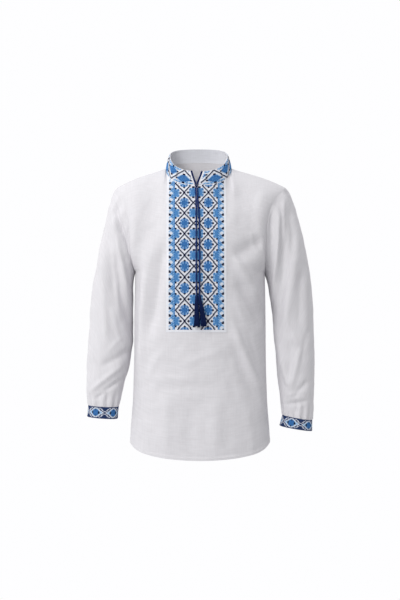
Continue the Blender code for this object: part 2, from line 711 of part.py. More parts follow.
def add_cord(name, points, diameter, finish, collection):
    """A round cord along points."""
    curve = bpy.data.curves.new(name, "CURVE")
    curve.dimensions = "3D"
    curve.bevel_depth = diameter / 2
    curve.bevel_resolution = 2
    curve.use_fill_caps = True
    spline = curve.splines.new("POLY")
    spline.points.add(len(points) - 1)
    for target, point in zip(spline.points, points):
        target.co = (*point, 1)
    curve.materials.append(finish)
    made = bpy.data.objects.new(name, curve)
    collection.objects.link(made)
    return made


def tie_point(side, z):
    """The middle of one tie at a height."""
    heights = [row.z for row in TIES]
    i = max(0, min(len(heights) - 2, sum(z < h for h in heights) - 1))
    place = i + (z - heights[i]) / (heights[i + 1] - heights[i])
    x = through([row.left_x if side > 0 else row.right_x for row in TIES], place)
    over_panel = through([row.over_panel for row in TIES], place)
    return Vector((x, front_y(x, z) - LIFT - PANEL - CORD / 2 - over_panel, z))


def make_tie(collection, navy, side, name):
    steps = round((TIES[0].z - TIES[-1].z) / TIE_STEP)
    heights = [mix(TIES[0].z, TIES[-1].z, k / steps) for k in range(steps + 1)]
    add_cord(name, [tie_point(side, z) for z in heights], CORD, navy, collection)


def make_edging(collection, navy, side, name):
    """A cord along the collar's end, which comes forward to the knot at the point of the V."""
    inset = EDGING / 2 + SEAM
    points = []
    for k in range(11):
        share = 1 - k / 10
        point = collar_point(-1, side, collar_end(side, share), share)
        point.x = SLIT_X + side * max(abs(point.x - SLIT_X) - inset, (EDGING + SEAM) / 2)
        point.y += BAND / 2 - EDGING_FORWARD * smooth(1 - share / EDGING_TURN)
        points.append(point)
    add_cord(name, points, EDGING, navy, collection)


def make_knot(collection, navy):
    """The small knot that gathers the edging and the ties at the point of the V."""
    bm = bmesh.new()
    bmesh.ops.create_uvsphere(bm, u_segments=12, v_segments=7, radius=1)
    panel_y = front_y(SLIT_X + slit_half(KNOT_Z), KNOT_Z) - LIFT - PANEL
    middle = Vector((SLIT_X, panel_y - SEAM - KNOT_SIZE[1] / 2, KNOT_Z))
    for vertex in bm.verts:
        vertex.co = middle + Vector([c * size / 2 for c, size in zip(vertex.co, KNOT_SIZE)])
    mesh = bpy.data.meshes.new("tie_knot")
    bm.to_mesh(mesh)
    bm.free()
    add_object("tie_knot", mesh, navy, collection)


def evaluated(thing):
    """A new mesh of an object with its modifiers, or of a curve with its thickness."""
    bpy.context.view_layer.update()
    return bpy.data.meshes.new_from_object(thing.evaluated_get(bpy.context.evaluated_depsgraph_get()))


def tassel_strands(name, side, top, collection):
    """The strands as one curve object, each from the inside of the head to its own end."""
    tassel = TASSELS[side]
    chance = random.Random(7 + side)
    strands = bpy.data.curves.new(name, "CURVE")
    strands.dimensions = "3D"
    strands.bevel_depth = STRAND / 2
    strands.bevel_resolution = 0
    strands.use_fill_caps = True
    root = top - Vector((0, 0, HEAD_LENGTH - STRAND_ROOT))
    for count, reach in TASSEL_RINGS:
        for k in range(count):
            turn = 2 * math.pi * k / count
            end_z = TASSEL_END_Z + chance.uniform(*STRAND_ENDS)
            end = Vector((tassel.end_x, top.y - TASSEL_FORWARD, end_z))
            round_turn = Vector((math.cos(turn), math.sin(turn), 0)) * reach
            wide = Vector((round_turn.x * tassel.half_width, round_turn.y * TASSEL_DEPTH, 0))
            narrow = round_turn * (HEAD_RADIUS - STRAND / 2)
            spline = strands.splines.new("POLY")
            spline.points.add(STRAND_POINTS - 1)
            for i, point in enumerate(spline.points):
                t = i / (STRAND_POINTS - 1)
                centre = root.lerp(end, t)
                centre.x = mix(root.x, end.x, smooth(mix(STRAND_SWING, 1, t)) if t else 0)
                point.co = (*(centre + narrow.lerp(wide, t**TASSEL_SPREAD)), 1)
                point.radius = mix(1 - STRAND_TAPER, 1 + STRAND_TAPER, t)
    made = bpy.data.objects.new(name, strands)
    collection.objects.link(made)
    return made


def make_tassel(collection, navy, side, name):
    """A wound head on the end of a tie, and the strands that hang from it."""
    top = tie_point(side, TIES[-1].z)
    top.z -= SEAM
    head = bmesh.new()
    bmesh.ops.create_cone(
        head, cap_ends=True, segments=12, radius1=HEAD_RADIUS, radius2=CORD / 2, depth=HEAD_LENGTH
    )
    bmesh.ops.bevel(head, geom=head.edges[:], offset=0.0006, segments=1, affect="EDGES")
    middle = top - Vector((0, 0, HEAD_LENGTH / 2))
    bmesh.ops.translate(head, verts=head.verts, vec=middle)
    mesh = bpy.data.meshes.new(name)
    head.to_mesh(mesh)
    head.free()
    made = add_object(name, mesh, navy, collection)
    guide = tassel_strands(name + "_strands", side, top, collection)
    strand_mesh = evaluated(guide)
    bpy.data.objects.remove(guide)
    bm = bmesh.new()
    bm.from_mesh(strand_mesh)
    bmesh.ops.remove_doubles(bm, verts=bm.verts, dist=0.00001)
    bmesh.ops.recalc_face_normals(bm, faces=bm.faces)
    bm.to_mesh(strand_mesh)
    bm.free()
    strands = bpy.data.objects.new(name + "_strands", strand_mesh)
    collection.objects.link(strands)
    union = made.modifiers.new("union", "BOOLEAN")
    union.operation = "UNION"
    union.solver = "MANIFOLD"
    union.object = strands
    united = evaluated(made)
    made.modifiers.clear()
    made.data = united
    bpy.data.objects.remove(strands)


def main():
    for old in list(bpy.data.objects):
        bpy.data.objects.remove(old)
    collection = bpy.data.collections.new("blouse")
    bpy.context.scene.collection.children.link(collection)
    linen = material("white_linen", WHITE, 0.85)
    embroidery = material("blue_embroidery", BLUE, 0.75)
    navy = material("navy_cord", NAVY, 0.6)
    make_front(collection, linen, embroidery)
    make_back(collection, linen)
    make_collar(collection, embroidery)
    make_knot(collection, navy)
    for side, word in ((1, "left"), (-1, "right")):
        make_sleeve(collection, linen, side, f"sleeve_{word}")
        make_cuff(collection, embroidery, side, f"cuff_{word}")
        make_edging(collection, navy, side, f"edging_{word}")
        make_tie(collection, navy, side, f"tie_{word}")
        make_tassel(collection, navy, side, f"tassel_{word}")


main()
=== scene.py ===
"""Looks of a white linen pullover blouse: creased cloth, cross-stitch bands, twisted ties and tassels."""

import math
import random
from collections import namedtuple

import bpy
import numpy as np
from mathutils import Matrix, Vector, noise


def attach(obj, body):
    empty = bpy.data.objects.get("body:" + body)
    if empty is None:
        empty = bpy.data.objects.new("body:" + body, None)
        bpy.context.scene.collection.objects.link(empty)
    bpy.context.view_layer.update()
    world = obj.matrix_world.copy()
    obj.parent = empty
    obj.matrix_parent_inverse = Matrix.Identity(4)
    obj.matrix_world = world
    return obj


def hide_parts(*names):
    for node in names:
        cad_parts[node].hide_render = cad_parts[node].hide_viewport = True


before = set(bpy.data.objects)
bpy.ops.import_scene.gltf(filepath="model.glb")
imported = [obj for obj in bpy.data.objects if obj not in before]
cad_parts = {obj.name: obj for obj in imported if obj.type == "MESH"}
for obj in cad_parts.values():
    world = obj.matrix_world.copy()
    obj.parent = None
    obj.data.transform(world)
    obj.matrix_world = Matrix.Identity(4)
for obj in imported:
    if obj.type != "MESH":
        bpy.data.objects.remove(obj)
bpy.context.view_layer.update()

# The garment's own sizes, in metres. Its front faces -Y, and its left sleeve hangs on the +X side.
# A side is 1 for the left and -1 for the right. A face is 1 for the back and -1 for the front.
SIDES = ((1, "left"), (-1, "right"))
LINEN_WALL = 0.0010  # thickness of the single cloth
BAND_WALL = 0.0018  # thickness of the collar and cuffs, which are folded double
PANEL_WALL = 0.0005
SHOULDER_COLUMN = 0.19  # past the panel's edge, where the shoulder seam meets the collar
PANEL_TOP = 0.0015  # how far the panel's outer side lies above the front
SEAM = 0.0001  # each edge's distance from the seam line
ON_SEAM = 1.5 * SEAM  # points this near the side seams' plane lie on a seam
TINY = 1e-12  # keeps a division by a length from failing

UNDERARM_Z = -0.275
HEM_Z = -0.768  # at the centre
HEM_RISE = 0.039  # from the centre to the side seams
HEM_CURVE = 0.55  # share of the hem's rise that is a plain curve; the rest turns up at the sides
HEM_CORNER = 10  # power of the turn up
SHOULDER_Z = -0.049
SHOULDER_X = {1: 0.231, -1: 0.224}
SHOULDER_ARCH = 0.0045  # the seam's rise above a straight line
SHOULDER_LATE = 1.5  # how far towards the armhole it is highest, where 1 is half way
ROUNDNESS = 2.4  # power of the torso's section: 2 is an ellipse, more is squarer
ARMHOLE_X = {1: 0.1745, -1: 0.187}  # half way up the armhole
ARMHOLE_DEPTH = 0.064
ARMHOLE_FULLNESS = 0.9  # power of the armhole's section, where 1 is a circle's
ARMHOLE_START = 0.4  # share of the way up at which it reaches ARMHOLE_X
ARMHOLE_TURN = 5.0  # how late it turns out to the shoulder
ARMHOLE_PULL = 1.5  # how near the armhole the cloth is drawn out to it
SLEEVE_ROUNDNESS = 2.15
YOKE_LEAVE = 0.50  # how far a column stays upright above the underarms, as a share of its height
YOKE_ARRIVE = (0.52, 0.42)  # how far ahead it turns to the seam above, as shares of its depth and height

NECK_X = -0.0035
NECK_HALF = 0.088
NECK_FRONT = 0.084
NECK_BACK = 0.068
NECK_SIDE_Z = 0.004
NECK_FRONT_Z = -0.049
NECK_BACK_Z = 0.027
NECK_POWER = {-1: 2.2, 1: 2.7}  # power of the neckline's outline
NECK_STEEPNESS = {-1: math.radians(58), 1: math.radians(72)}  # of the cloth that meets the collar
NECK_FLATTENING = 1.6  # how late it flattens from the neckline's middle to the shoulder seam
FLAT = math.radians(4)  # the steepness along the shoulder seam
COLLAR_LEAN = 0.010  # how far the top edge stands inside the bottom edge
COLLAR_CURVE = 1.4  # how late it leans
COLLAR_FRONT_RISE = 0.0365
COLLAR_SIDE_RISE = 0.038
COLLAR_BACK_RISE = 0.0365
COLLAR_FOOT = 0.0002  # between the neckline and the collar's bottom edge

SLIT_X = -0.0095
SLIT_END_Z = -0.205
SLIT_GAP = 0.0010  # half width where the edges meet
SLIT_SPREAD = 0.0032  # half width at the neckline
SLIT_V_Z = -0.090  # where the edges have come together
COLLAR_SPREAD = 0.0188  # half width of the opening at the collar's top edge
PANEL_HALF = 0.0780
PANEL_BOTTOM_Z = -0.4345
EMBROIDERY_HALF = 0.0715  # from the slit to the outer edge of the stitches
EMBROIDERY_BOTTOM_Z = -0.428

CORD = 0.0042  # the ties' diameter
CORD_PITCH = 0.0075  # one turn of the ties' plies
EDGING = 0.0052
EDGING_TURN = 0.4
EDGING_FORWARD = 0.0044  # how far forward it comes
KNOT_Z = -0.0524
KNOT_SIZE = (0.0090, 0.0056, 0.0070)
HEAD_LENGTH = 0.012
HEAD_RADIUS = 0.0034
TASSEL_END_Z = -0.416
TASSEL_FORWARD = 0.002  # how much further forward the strands end than the head hangs
TASSEL_DEPTH = 0.0050  # half of it, from front to back

Tie = namedtuple("Tie", "z right_x left_x over_panel")
TIES = (
    Tie(-0.0562, -0.0120, -0.0074, 0.0010),
    Tie(-0.0830, -0.0107, -0.0061, 0.0008),
    Tie(-0.1020, -0.0098, -0.0046, 0.0008),
    Tie(-0.1210, -0.0096, -0.0030, 0.0008),
    Tie(-0.1420, -0.0098, -0.0016, 0.0008),
    Tie(-0.1900, -0.0098, -0.0011, 0.0008),
    Tie(-0.2500, -0.0098, -0.0010, 0.0008),
    Tie(-0.3000, -0.0096, -0.0011, 0.0012),
    Tie(-0.3360, -0.0090, -0.0012, 0.0020),
)
Tassel = namedtuple("Tassel", "end_x half_width")
TASSELS = {-1: Tassel(-0.0082, 0.0078), 1: Tassel(0.0094, 0.0078)}

Level = namedtuple("Level", "z half_width front back")
TORSO = (
    Level(-0.780, 0.1900, 0.123, 0.117),
    Level(-0.700, 0.1865, 0.121, 0.113),
    Level(-0.620, 0.1805, 0.118, 0.106),
    Level(-0.500, 0.1770, 0.116, 0.099),
    Level(-0.400, 0.1765, 0.119, 0.100),
    Level(-0.275, 0.1740, 0.125, 0.107),
)

Ring = namedtuple("Ring", "outer_x outer_z inner_x inner_z depth y")
SLEEVE_RINGS = {
    1: (
        Ring(0.2310, -0.049, 0.1752, -0.2750, 0.0640, 0.000),
        Ring(0.2510, -0.088, 0.1780, -0.2870, 0.0620, 0.000),
        Ring(0.2740, -0.165, 0.1820, -0.3050, 0.0580, 0.002),
        Ring(0.2935, -0.260, 0.1870, -0.3360, 0.0560, 0.005),
        Ring(0.3040, -0.357, 0.1950, -0.3930, 0.0570, 0.008),
        Ring(0.3085, -0.454, 0.2015, -0.4670, 0.0560, 0.007),
        Ring(0.3090, -0.538, 0.2080, -0.5380, 0.0510, 0.002),
        Ring(0.3070, -0.608, 0.2145, -0.6020, 0.0450, -0.005),
        Ring(0.3010, -0.672, 0.2225, -0.6585, 0.0370, -0.012),
    ),
    -1: (
        Ring(0.2240, -0.049, 0.1752, -0.2750, 0.0640, 0.000),
        Ring(0.2390, -0.084, 0.1780, -0.2870, 0.0620, 0.000),
        Ring(0.2560, -0.146, 0.1800, -0.3050, 0.0590, 0.002),
        Ring(0.2740, -0.230, 0.1808, -0.3360, 0.0570, 0.005),
        Ring(0.2915, -0.325, 0.1808, -0.3920, 0.0570, 0.008),
        Ring(0.2995, -0.425, 0.1815, -0.4600, 0.0560, 0.007),
        Ring(0.3035, -0.510, 0.1900, -0.5230, 0.0520, 0.000),
        Ring(0.3050, -0.583, 0.2060, -0.5850, 0.0460, -0.008),
        Ring(0.2990, -0.632, 0.2190, -0.6360, 0.0370, -0.015),
    ),
}
CUFF_RINGS = {
    1: (
        Ring(0.3010, -0.6722, 0.2225, -0.6587, 0.0370, -0.012),
        Ring(0.3005, -0.7020, 0.2140, -0.6880, 0.0380, -0.014),
    ),
    -1: (
        Ring(0.2990, -0.6322, 0.2190, -0.6362, 0.0370, -0.015),
        Ring(0.3020, -0.6630, 0.2215, -0.6690, 0.0375, -0.017),
    ),
}

# A crease runs from one place to another on a piece seen from the front, and bows aside half way.
# Ridges are positive. The first rows of each table are the cloth's largest folds.
Crease = namedtuple("Crease", "x0 z0 x1 z1 width height bow")
FRONT_CREASES = (
    Crease(-0.136, -0.180, -0.158, -0.600, 0.011, 0.0085, 0.004),
    Crease(-0.090, -0.180, -0.138, -0.470, 0.015, -0.0110, 0),
    Crease(0.078, -0.215, 0.172, -0.375, 0.010, 0.0085, 0.003),
    Crease(0.070, -0.250, 0.185, -0.185, 0.020, -0.0085, 0),
    Crease(0.085, -0.280, 0.175, -0.430, 0.015, -0.0075, 0),
    Crease(0.076, -0.385, 0.176, -0.620, 0.010, 0.0080, 0.006),
    Crease(0.084, -0.450, 0.156, -0.640, 0.016, -0.0055, 0.004),
    Crease(0.085, -0.065, 0.165, -0.085, 0.024, -0.0040, 0),
    Crease(-0.085, -0.580, -0.090, -0.775, 0.018, 0.0045, 0),
    Crease(0.039, -0.590, 0.043, -0.775, 0.020, 0.0042, 0),
    Crease(-0.022, -0.600, -0.026, -0.775, 0.020, -0.0038, 0),
    Crease(-0.118, -0.190, -0.146, -0.400, 0.006, 0.0018, 0.004),
    Crease(-0.104, -0.260, -0.130, -0.430, 0.006, -0.0016, -0.003),
    Crease(-0.162, -0.270, -0.167, -0.520, 0.008, -0.0026, 0.003),
    Crease(0.094, -0.245, 0.150, -0.330, 0.006, -0.0020, 0.004),
    Crease(0.130, -0.170, 0.160, -0.235, 0.007, 0.0022, 0.003),
    Crease(0.084, -0.330, 0.140, -0.440, 0.009, 0.0018, 0.005),
    Crease(0.122, -0.420, 0.166, -0.540, 0.007, -0.0020, 0.004),
    Crease(-0.152, -0.556, 0.010, -0.550, 0.009, 0.0018, 0.003),
    Crease(-0.120, -0.578, 0.060, -0.572, 0.011, -0.0014, 0.003),
    Crease(-0.055, -0.520, 0.068, -0.474, 0.010, 0.0020, 0.004),
    Crease(-0.090, -0.470, -0.135, -0.560, 0.010, 0.0018, 0.004),
    Crease(0.070, -0.470, 0.100, -0.640, 0.012, -0.0018, 0.005),
    Crease(0.125, -0.620, 0.140, -0.765, 0.012, 0.0026, 0.002),
    Crease(-0.140, -0.085, -0.100, -0.125, 0.010, -0.0018, 0.004),
    Crease(-0.168, -0.120, -0.120, -0.165, 0.009, 0.0016, 0.004),
    Crease(0.110, -0.095, 0.165, -0.150, 0.010, 0.0022, 0.003),
    Crease(0.090, -0.130, 0.150, -0.175, 0.012, -0.0022, 0.004),
)
BACK_CREASES = (
    Crease(-0.146, -0.150, -0.086, -0.430, 0.013, -0.0085, 0.004),
    Crease(-0.122, -0.150, -0.056, -0.380, 0.016, 0.0068, 0.003),
    Crease(0.148, -0.160, 0.094, -0.410, 0.013, -0.0080, -0.004),
    Crease(0.124, -0.170, 0.064, -0.360, 0.016, 0.0062, -0.003),
    Crease(-0.035, -0.330, -0.050, -0.700, 0.019, 0.0060, 0),
    Crease(0.040, -0.380, 0.058, -0.720, 0.019, 0.0064, 0),
    Crease(-0.120, -0.480, -0.110, -0.770, 0.018, 0.0062, 0),
    Crease(0.130, -0.500, 0.118, -0.770, 0.018, 0.0056, 0),
    Crease(-0.078, -0.440, -0.084, -0.740, 0.016, -0.0056, 0.003),
    Crease(0.002, -0.430, 0.008, -0.750, 0.018, -0.0050, 0.004),
    Crease(0.090, -0.460, 0.088, -0.740, 0.015, -0.0048, -0.003),
    Crease(-0.162, -0.300, -0.150, -0.560, 0.010, 0.0040, 0.003),
    Crease(0.160, -0.320, 0.152, -0.580, 0.010, 0.0036, -0.003),
    Crease(-0.150, -0.530, -0.020, -0.500, 0.010, 0.0030, 0.004),
    Crease(0.145, -0.510, 0.030, -0.480, 0.010, 0.0026, -0.004),
    Crease(-0.100, -0.240, -0.075, -0.430, 0.007, -0.0018, 0.004),
    Crease(0.105, -0.250, 0.075, -0.440, 0.007, -0.0018, -0.004),
    Crease(-0.060, -0.420, 0.040, -0.440, 0.008, 0.0018, 0.004),
    Crease(-0.140, -0.590, -0.150, -0.740, 0.010, 0.0020, 0.003),
    Crease(-0.070, -0.062, 0.060, -0.072, 0.013, -0.0026, 0.004),
    Crease(-0.050, -0.110, 0.070, -0.130, 0.016, 0.0022, 0.005),
)
SLEEVE_FRONT_CREASES = {
    1: (
        Crease(0.190, -0.080, 0.184, -0.300, 0.007, -0.0060, 0),
        Crease(0.207, -0.070, 0.190, -0.370, 0.006, 0.0055, -0.006),
        Crease(0.224, -0.100, 0.204, -0.440, 0.010, -0.0062, -0.005),
        Crease(0.221, -0.060, 0.225, -0.220, 0.005, 0.0040, 0),
        Crease(0.264, -0.160, 0.221, -0.460, 0.012, 0.0058, 0),
        Crease(0.240, -0.070, 0.248, -0.250, 0.008, -0.0042, 0),
        Crease(0.202, -0.440, 0.239, -0.605, 0.008, 0.0050, 0),
        Crease(0.272, -0.460, 0.236, -0.605, 0.008, 0.0045, 0),
        Crease(0.238, -0.450, 0.237, -0.570, 0.011, -0.0045, 0),
        Crease(0.292, -0.560, 0.244, -0.615, 0.007, -0.0042, 0),
        Crease(0.222, -0.630, 0.292, -0.618, 0.006, -0.0040, 0),
        Crease(0.275, -0.240, 0.262, -0.450, 0.008, -0.0028, 0.004),
        Crease(0.288, -0.250, 0.284, -0.470, 0.007, 0.0020, 0.003),
        Crease(0.215, -0.380, 0.262, -0.480, 0.007, 0.0020, -0.004),
        Crease(0.292, -0.420, 0.266, -0.540, 0.006, -0.0020, 0.004),
        Crease(0.216, -0.540, 0.236, -0.600, 0.005, -0.0020, 0.002),
        Crease(0.225, -0.606, 0.280, -0.590, 0.005, 0.0022, 0.002),
        Crease(0.256, -0.612, 0.258, -0.655, 0.003, -0.0028, 0),
        Crease(0.268, -0.625, 0.272, -0.660, 0.004, 0.0024, 0),
    ),
    -1: (
        Crease(-0.236, -0.075, -0.174, -0.245, 0.007, -0.0085, 0.003),
        Crease(-0.240, -0.070, -0.188, -0.400, 0.008, 0.0078, -0.003),
        Crease(-0.228, -0.190, -0.178, -0.460, 0.010, -0.0075, 0.004),
        Crease(-0.266, -0.170, -0.246, -0.500, 0.010, 0.0058, 0),
        Crease(-0.252, -0.130, -0.222, -0.390, 0.009, -0.0055, 0),
        Crease(-0.272, -0.532, -0.180, -0.478, 0.010, -0.0050, 0.003),
        Crease(-0.302, -0.606, -0.196, -0.518, 0.007, 0.0050, -0.003),
        Crease(-0.288, -0.620, -0.200, -0.556, 0.006, -0.0042, 0),
        Crease(-0.285, -0.300, -0.274, -0.520, 0.009, -0.0026, 0.003),
        Crease(-0.214, -0.300, -0.200, -0.420, 0.005, -0.0022, 0.004),
        Crease(-0.236, -0.360, -0.208, -0.470, 0.006, 0.0024, 0.003),
        Crease(-0.195, -0.440, -0.250, -0.500, 0.006, 0.0022, 0.004),
        Crease(-0.290, -0.500, -0.250, -0.560, 0.006, -0.0022, 0.003),
        Crease(-0.225, -0.585, -0.285, -0.610, 0.004, 0.0020, 0.002),
        Crease(-0.246, -0.595, -0.247, -0.626, 0.004, -0.0026, 0),
    ),
}
SLEEVE_BACK_CREASES = {
    1: (
        Crease(0.215, -0.110, 0.212, -0.340, 0.014, 0.0050, 0),
        Crease(0.262, -0.180, 0.262, -0.420, 0.016, -0.0050, 0),
        Crease(0.300, -0.410, 0.222, -0.480, 0.014, -0.0060, 0),
        Crease(0.215, -0.560, 0.290, -0.600, 0.014, 0.0045, 0),
        Crease(0.235, -0.130, 0.228, -0.330, 0.006, -0.0022, 0.003),
        Crease(0.285, -0.360, 0.225, -0.430, 0.007, 0.0026, 0.004),
        Crease(0.292, -0.460, 0.235, -0.520, 0.007, 0.0022, 0.004),
        Crease(0.228, -0.500, 0.280, -0.560, 0.007, -0.0022, 0.003),
    ),
    -1: (
        Crease(-0.210, -0.110, -0.206, -0.330, 0.014, 0.0050, 0),
        Crease(-0.250, -0.170, -0.252, -0.400, 0.016, -0.0050, 0),
        Crease(-0.294, -0.380, -0.210, -0.450, 0.014, -0.0060, 0),
        Crease(-0.212, -0.540, -0.288, -0.575, 0.014, 0.0045, 0),
        Crease(-0.230, -0.120, -0.224, -0.310, 0.006, -0.0022, 0.003),
        Crease(-0.278, -0.330, -0.215, -0.400, 0.007, 0.0026, 0.004),
        Crease(-0.285, -0.430, -0.228, -0.490, 0.007, 0.0022, 0.004),
        Crease(-0.222, -0.480, -0.275, -0.530, 0.007, -0.0022, 0.003),
    ),
}
CREASE_END = 0.3  # share of a crease's length over which each end dies away
FOLD_FADE = 0.25  # columns next to a side seam or armhole over which the creases die away
SLEEVE_FADE = 0.055  # share of the sleeve's length over which they die away at each end
SLEEVE_BLEND = 1.5  # how soon the front's creases give way to the back's round a sleeve

# Waves round a sleeve where it is sewn into its cuff and into the armhole.
Gathers = namedtuple("Gathers", "waves depth reach unevenness wander")
CUFF_GATHERS = Gathers(12, 0.0022, 0.060, 0.9, 2)
FINE_GATHERS = Gathers(29, 0.0006, 0.022, 1.0, 3)
HEAD_GATHERS = Gathers(12, 0.0026, 0.110, 0.8, 2)
HEAD_GATHERS_START = 0.012  # below the armhole's seam
HEAD_GATHERS_WIDTH = 0.2  # how far they run past the sleeve's upper half
GATHER_PATCH = 0.03  # size of their unevenness
GATHER_STRETCH = (1, 1, 0.15)

HEAD_SHARE = 0.34  # of the sleeve, in which it turns from the armhole's outline into its own
SEAM_REACH = 0.006  # distance from a seam over which the cloth rises
FOLD_TOP = 0.23  # levels below the neckline and shoulder seams over which the creases die away
HEM_FOLD = 0.0075  # height of the turned-up hem
HEM_STEP = 0.0006  # how far it stands out
HEM_PUCKER = 0.0005  # height of the small waves that the stitching draws into the hem
HEM_SEWN = 0.8  # share of the hem's height at which it is sewn
HEM_SHARES = (0, 0.3, 0.6, HEM_SEWN, 0.96, 1.08)
RUMPLES = ((0.050, 0.0017), (0.021, 0.0007))  # size and height of the cloth's unevenness
UNDER_PANEL = 0.25  # how much of it is left where the panel stiffens the cloth
SLEEVE_RUMPLE = 1.2  # how much more uneven a sleeve is than the body
PUCKER_SIZE = 0.008
PUCKER_STRETCH = (1, 1, 0.2)
PUCKER_REACH = 0.007
HEM_EASE = 0.02  # distance from a seam over which the hem's step and puckers grow
SEED_SHIFT = (7.3, 3.1, 5.7)  # how far apart in the noise two seeds' patches lie
FRONT_SEED = 3
BACK_SEED = 8
PUCKER_SEED = 5
SLEEVE_SEED = 11
GATHER_SEED = 17
TASSEL_SEED = 40
RIM_ANGLE = math.radians(60)  # edges sharper than this show as edges
PUFF = 0.0002  # how far the cloth stands out beside its seams
PANEL_RISE = 0.0007  # height of the panel's outer side over the creased front

BODY_COLUMNS = (24, 40)  # from the slit or the middle to the panel's edge, and from there to the side seam
BODY_ROWS = (64, 34, 56)  # below the panel, up to the underarms, and above them
SLEEVE_SIDES = 96
SLEEVE_STEPS = 150
COLLAR_COLUMNS = (44, 44)  # from the slit to the shoulder, and from there to the middle of the back
COLLAR_ROWS = 10
CUFF_SIDES = 96
CUFF_ROWS = 8

THREAD_WIDTH = 0.00135
THICK_WIDTH = 0.0019
THREAD_HEIGHT = 0.00042
THICK_SHARE = 1.3  # how much higher a thick thread lies
OVER_SHARE = 1.35  # how much higher the upper thread of a cross lies
THREAD_SLOPE = 0.22  # share of a thread's length over which each end slopes down
THREAD_SHADES = (0.88, 1.12)  # how unevenly the threads are dyed
BAKE_SPOT = ((-0.3, -0.3), (0.3, -0.3), (0.0, 0.3))  # a triangle's corners, in stitches from its middle
THREAD_LIFT = 0.00006  # how far above the cloth a thread starts
COLLAR_PEAK = {1: 17, -1: 12}  # stitches from the slit to the zigzag's first peak
COLLAR_STITCHES = 103  # from the slit to the middle of the back
COLLAR_PLACES = 401  # points at which the collar is measured round each side
COLLAR_MARGIN = 0.03  # share of its height above and below the stitches
COLLAR_END_MARGIN = 0.03
CUFF_STITCHES = 120
CUFF_TURN = math.radians(23)  # the first rosette's turn from the front
CUFF_PLACES = 721  # points at which a cuff is measured round
CUFF_MARGIN = 0.03
SEWN_PITCH = 0.0034
SEWN_LENGTH = 0.0025
SEWN_WIDTH = 0.0005
SEWN_HEIGHT = 0.00022
SEWN_ENDS = (0.001, 0.003)  # where a row starts, and how far before the line's end it stops
SEWN_LIFT = 0.00003  # how far above the cloth machine stitches lie

PLY_DEPTH = 0.16  # depth of the grooves between a cord's plies, as a share of its radius
PLIES = 3
HALVINGS = 20  # steps in which the front's cloth is found behind a tie
TUBE_START = (0.3, 1.0, 0.2)  # a direction that no cord follows
TIE_STEP = 0.0009
TIE_SIDES = 18
EDGING_PITCH = 0.00525
EDGING_STEPS = 60
EDGING_SIDES = 12
EDGING_BACK = 0.001  # how far behind the collar's outer side it lies
TIE_INTO_HEAD = 0.009  # how far a tie runs on inside its tassel's head
KNOT_PITCH = 0.0045
KNOT_STEPS = 96
KNOT_SIDES = 12
KNOT_CORD = 0.0013  # radius of the cord in the knot
STRAND = 0.0011  # a strand's width
STRANDS = 90
STRAND_STEPS = 12
STRAND_ROOT = 0.003  # how far up inside the head it starts
STRAND_ENDS = (-0.004, 0.003)  # how unevenly the strands end
STRAND_SWING = 0.15  # how soon they swing to the side
STRAND_SWAY = 0.0007
STRAND_BENDS = 5  # how often a strand sways on the way down, in radians
STRAND_SIDES = 4
STRAND_WIDTHS = (0.9, 1.1)  # from the root to the end, as shares of STRAND
TASSEL_SPREAD = 0.7  # power of the strands' spreading on the way down
GOLDEN_TURN = math.pi * (3 - math.sqrt(5))
HEAD_STEPS = 36
HEAD_SIDES = 20
HEAD_SWELL = 1.8  # how soon the head reaches its full width
HEAD_WINDING = 0.06  # depth of the winding, as a share of the radius
HEAD_END = 0.8  # how much narrower the head's two ends are
HEAD_TURNS = 15  # turns of thread round a tassel's head

YARN_PITCH = 0.00075  # from one yarn of the linen to the next
TINT_RANGE = 0.28  # how much darker the thin places of the linen are
YARN_HEIGHT = 0.3  # share of the weave's height that the even yarns make
WAVE_BAND = 2 * math.pi / 20  # width of one band of a wave texture of scale 1
WANDER_SCALE = 140.0
WANDER = (0.0006, 0.0006, 0)  # how far the yarns wander
Slub = namedtuple("Slub", "stretch detail weight")
SLUBS = (
    Slub((20, 420, 1), 2.0, 0.40),
    Slub((420, 20, 1), 2.0, 0.45),
    Slub((26, 150, 1), 1.0, 0.35),
)
TINT_MIDDLE = 0.6  # height of the slubs at which the linen has its plain colour
LINEN_ROUGHNESS = 0.85
LINEN_BUMP = 0.55
BAND_BUMP = 0.40
WEAVE_HEIGHT = 0.0005
SHEEN_WEIGHT = 0.15
SHEEN_ROUGHNESS = 0.6
LINEN_COLOUR = (0.668, 0.658, 0.688)
BAND_COLOUR = (0.72, 0.73, 0.78)
EMBROIDERY_COLOUR = (0.3, 0.4, 0.6)
EMBROIDERY_ROUGHNESS = 0.65
CORD_ROUGHNESS = 0.6
THREAD_GLOSS = 0.12
FIBRE_STRETCH = (2600, 2600, 1400)
FIBRE_BUMP = 0.35
FIBRE_HEIGHT = 0.0002
CORD_COLOUR = (0.006, 0.023, 0.120)
TASSEL_COLOUR = (0.004, 0.014, 0.075)
SEWING_COLOUR = (0.85, 0.85, 0.86)
ROOM_COLOUR = (0.99, 0.99, 1.0, 1)
ROOM_DIRECTION = (-0.45, 0.62, 0.64)
ROOM_DARK = 0.45  # brightness of the side away from ROOM_DIRECTION
ROOM_BRIGHT = 1.0
ROOM_REACH = (-1.0, 0.3)  # how far the direction may turn away from the bright side
LAMP_PLACE = (-1.4, -2.0, 1.0)
LAMP_AIM = (0, 0, -0.35)
LAMP_SIZE = (1.2, 1.2)
LAMP_POWER = 38
LAMP_COLOUR = (1.0, 0.99, 0.97)
FLOOR_Z = -1.42  # just below the picture's lower edge
FLOOR_SIZE = 1.6
FLOOR_SIDES = 96
FLOOR_ROUGHNESS = 0.9
FLOOR_COLOUR = (0.80, 0.80, 0.80)
LENS = 66.67
SENSOR = 36
FAR = 20
CAMERA_PLACE = (0, -3.0, -0.351)
PICTURE = (800, 1200)

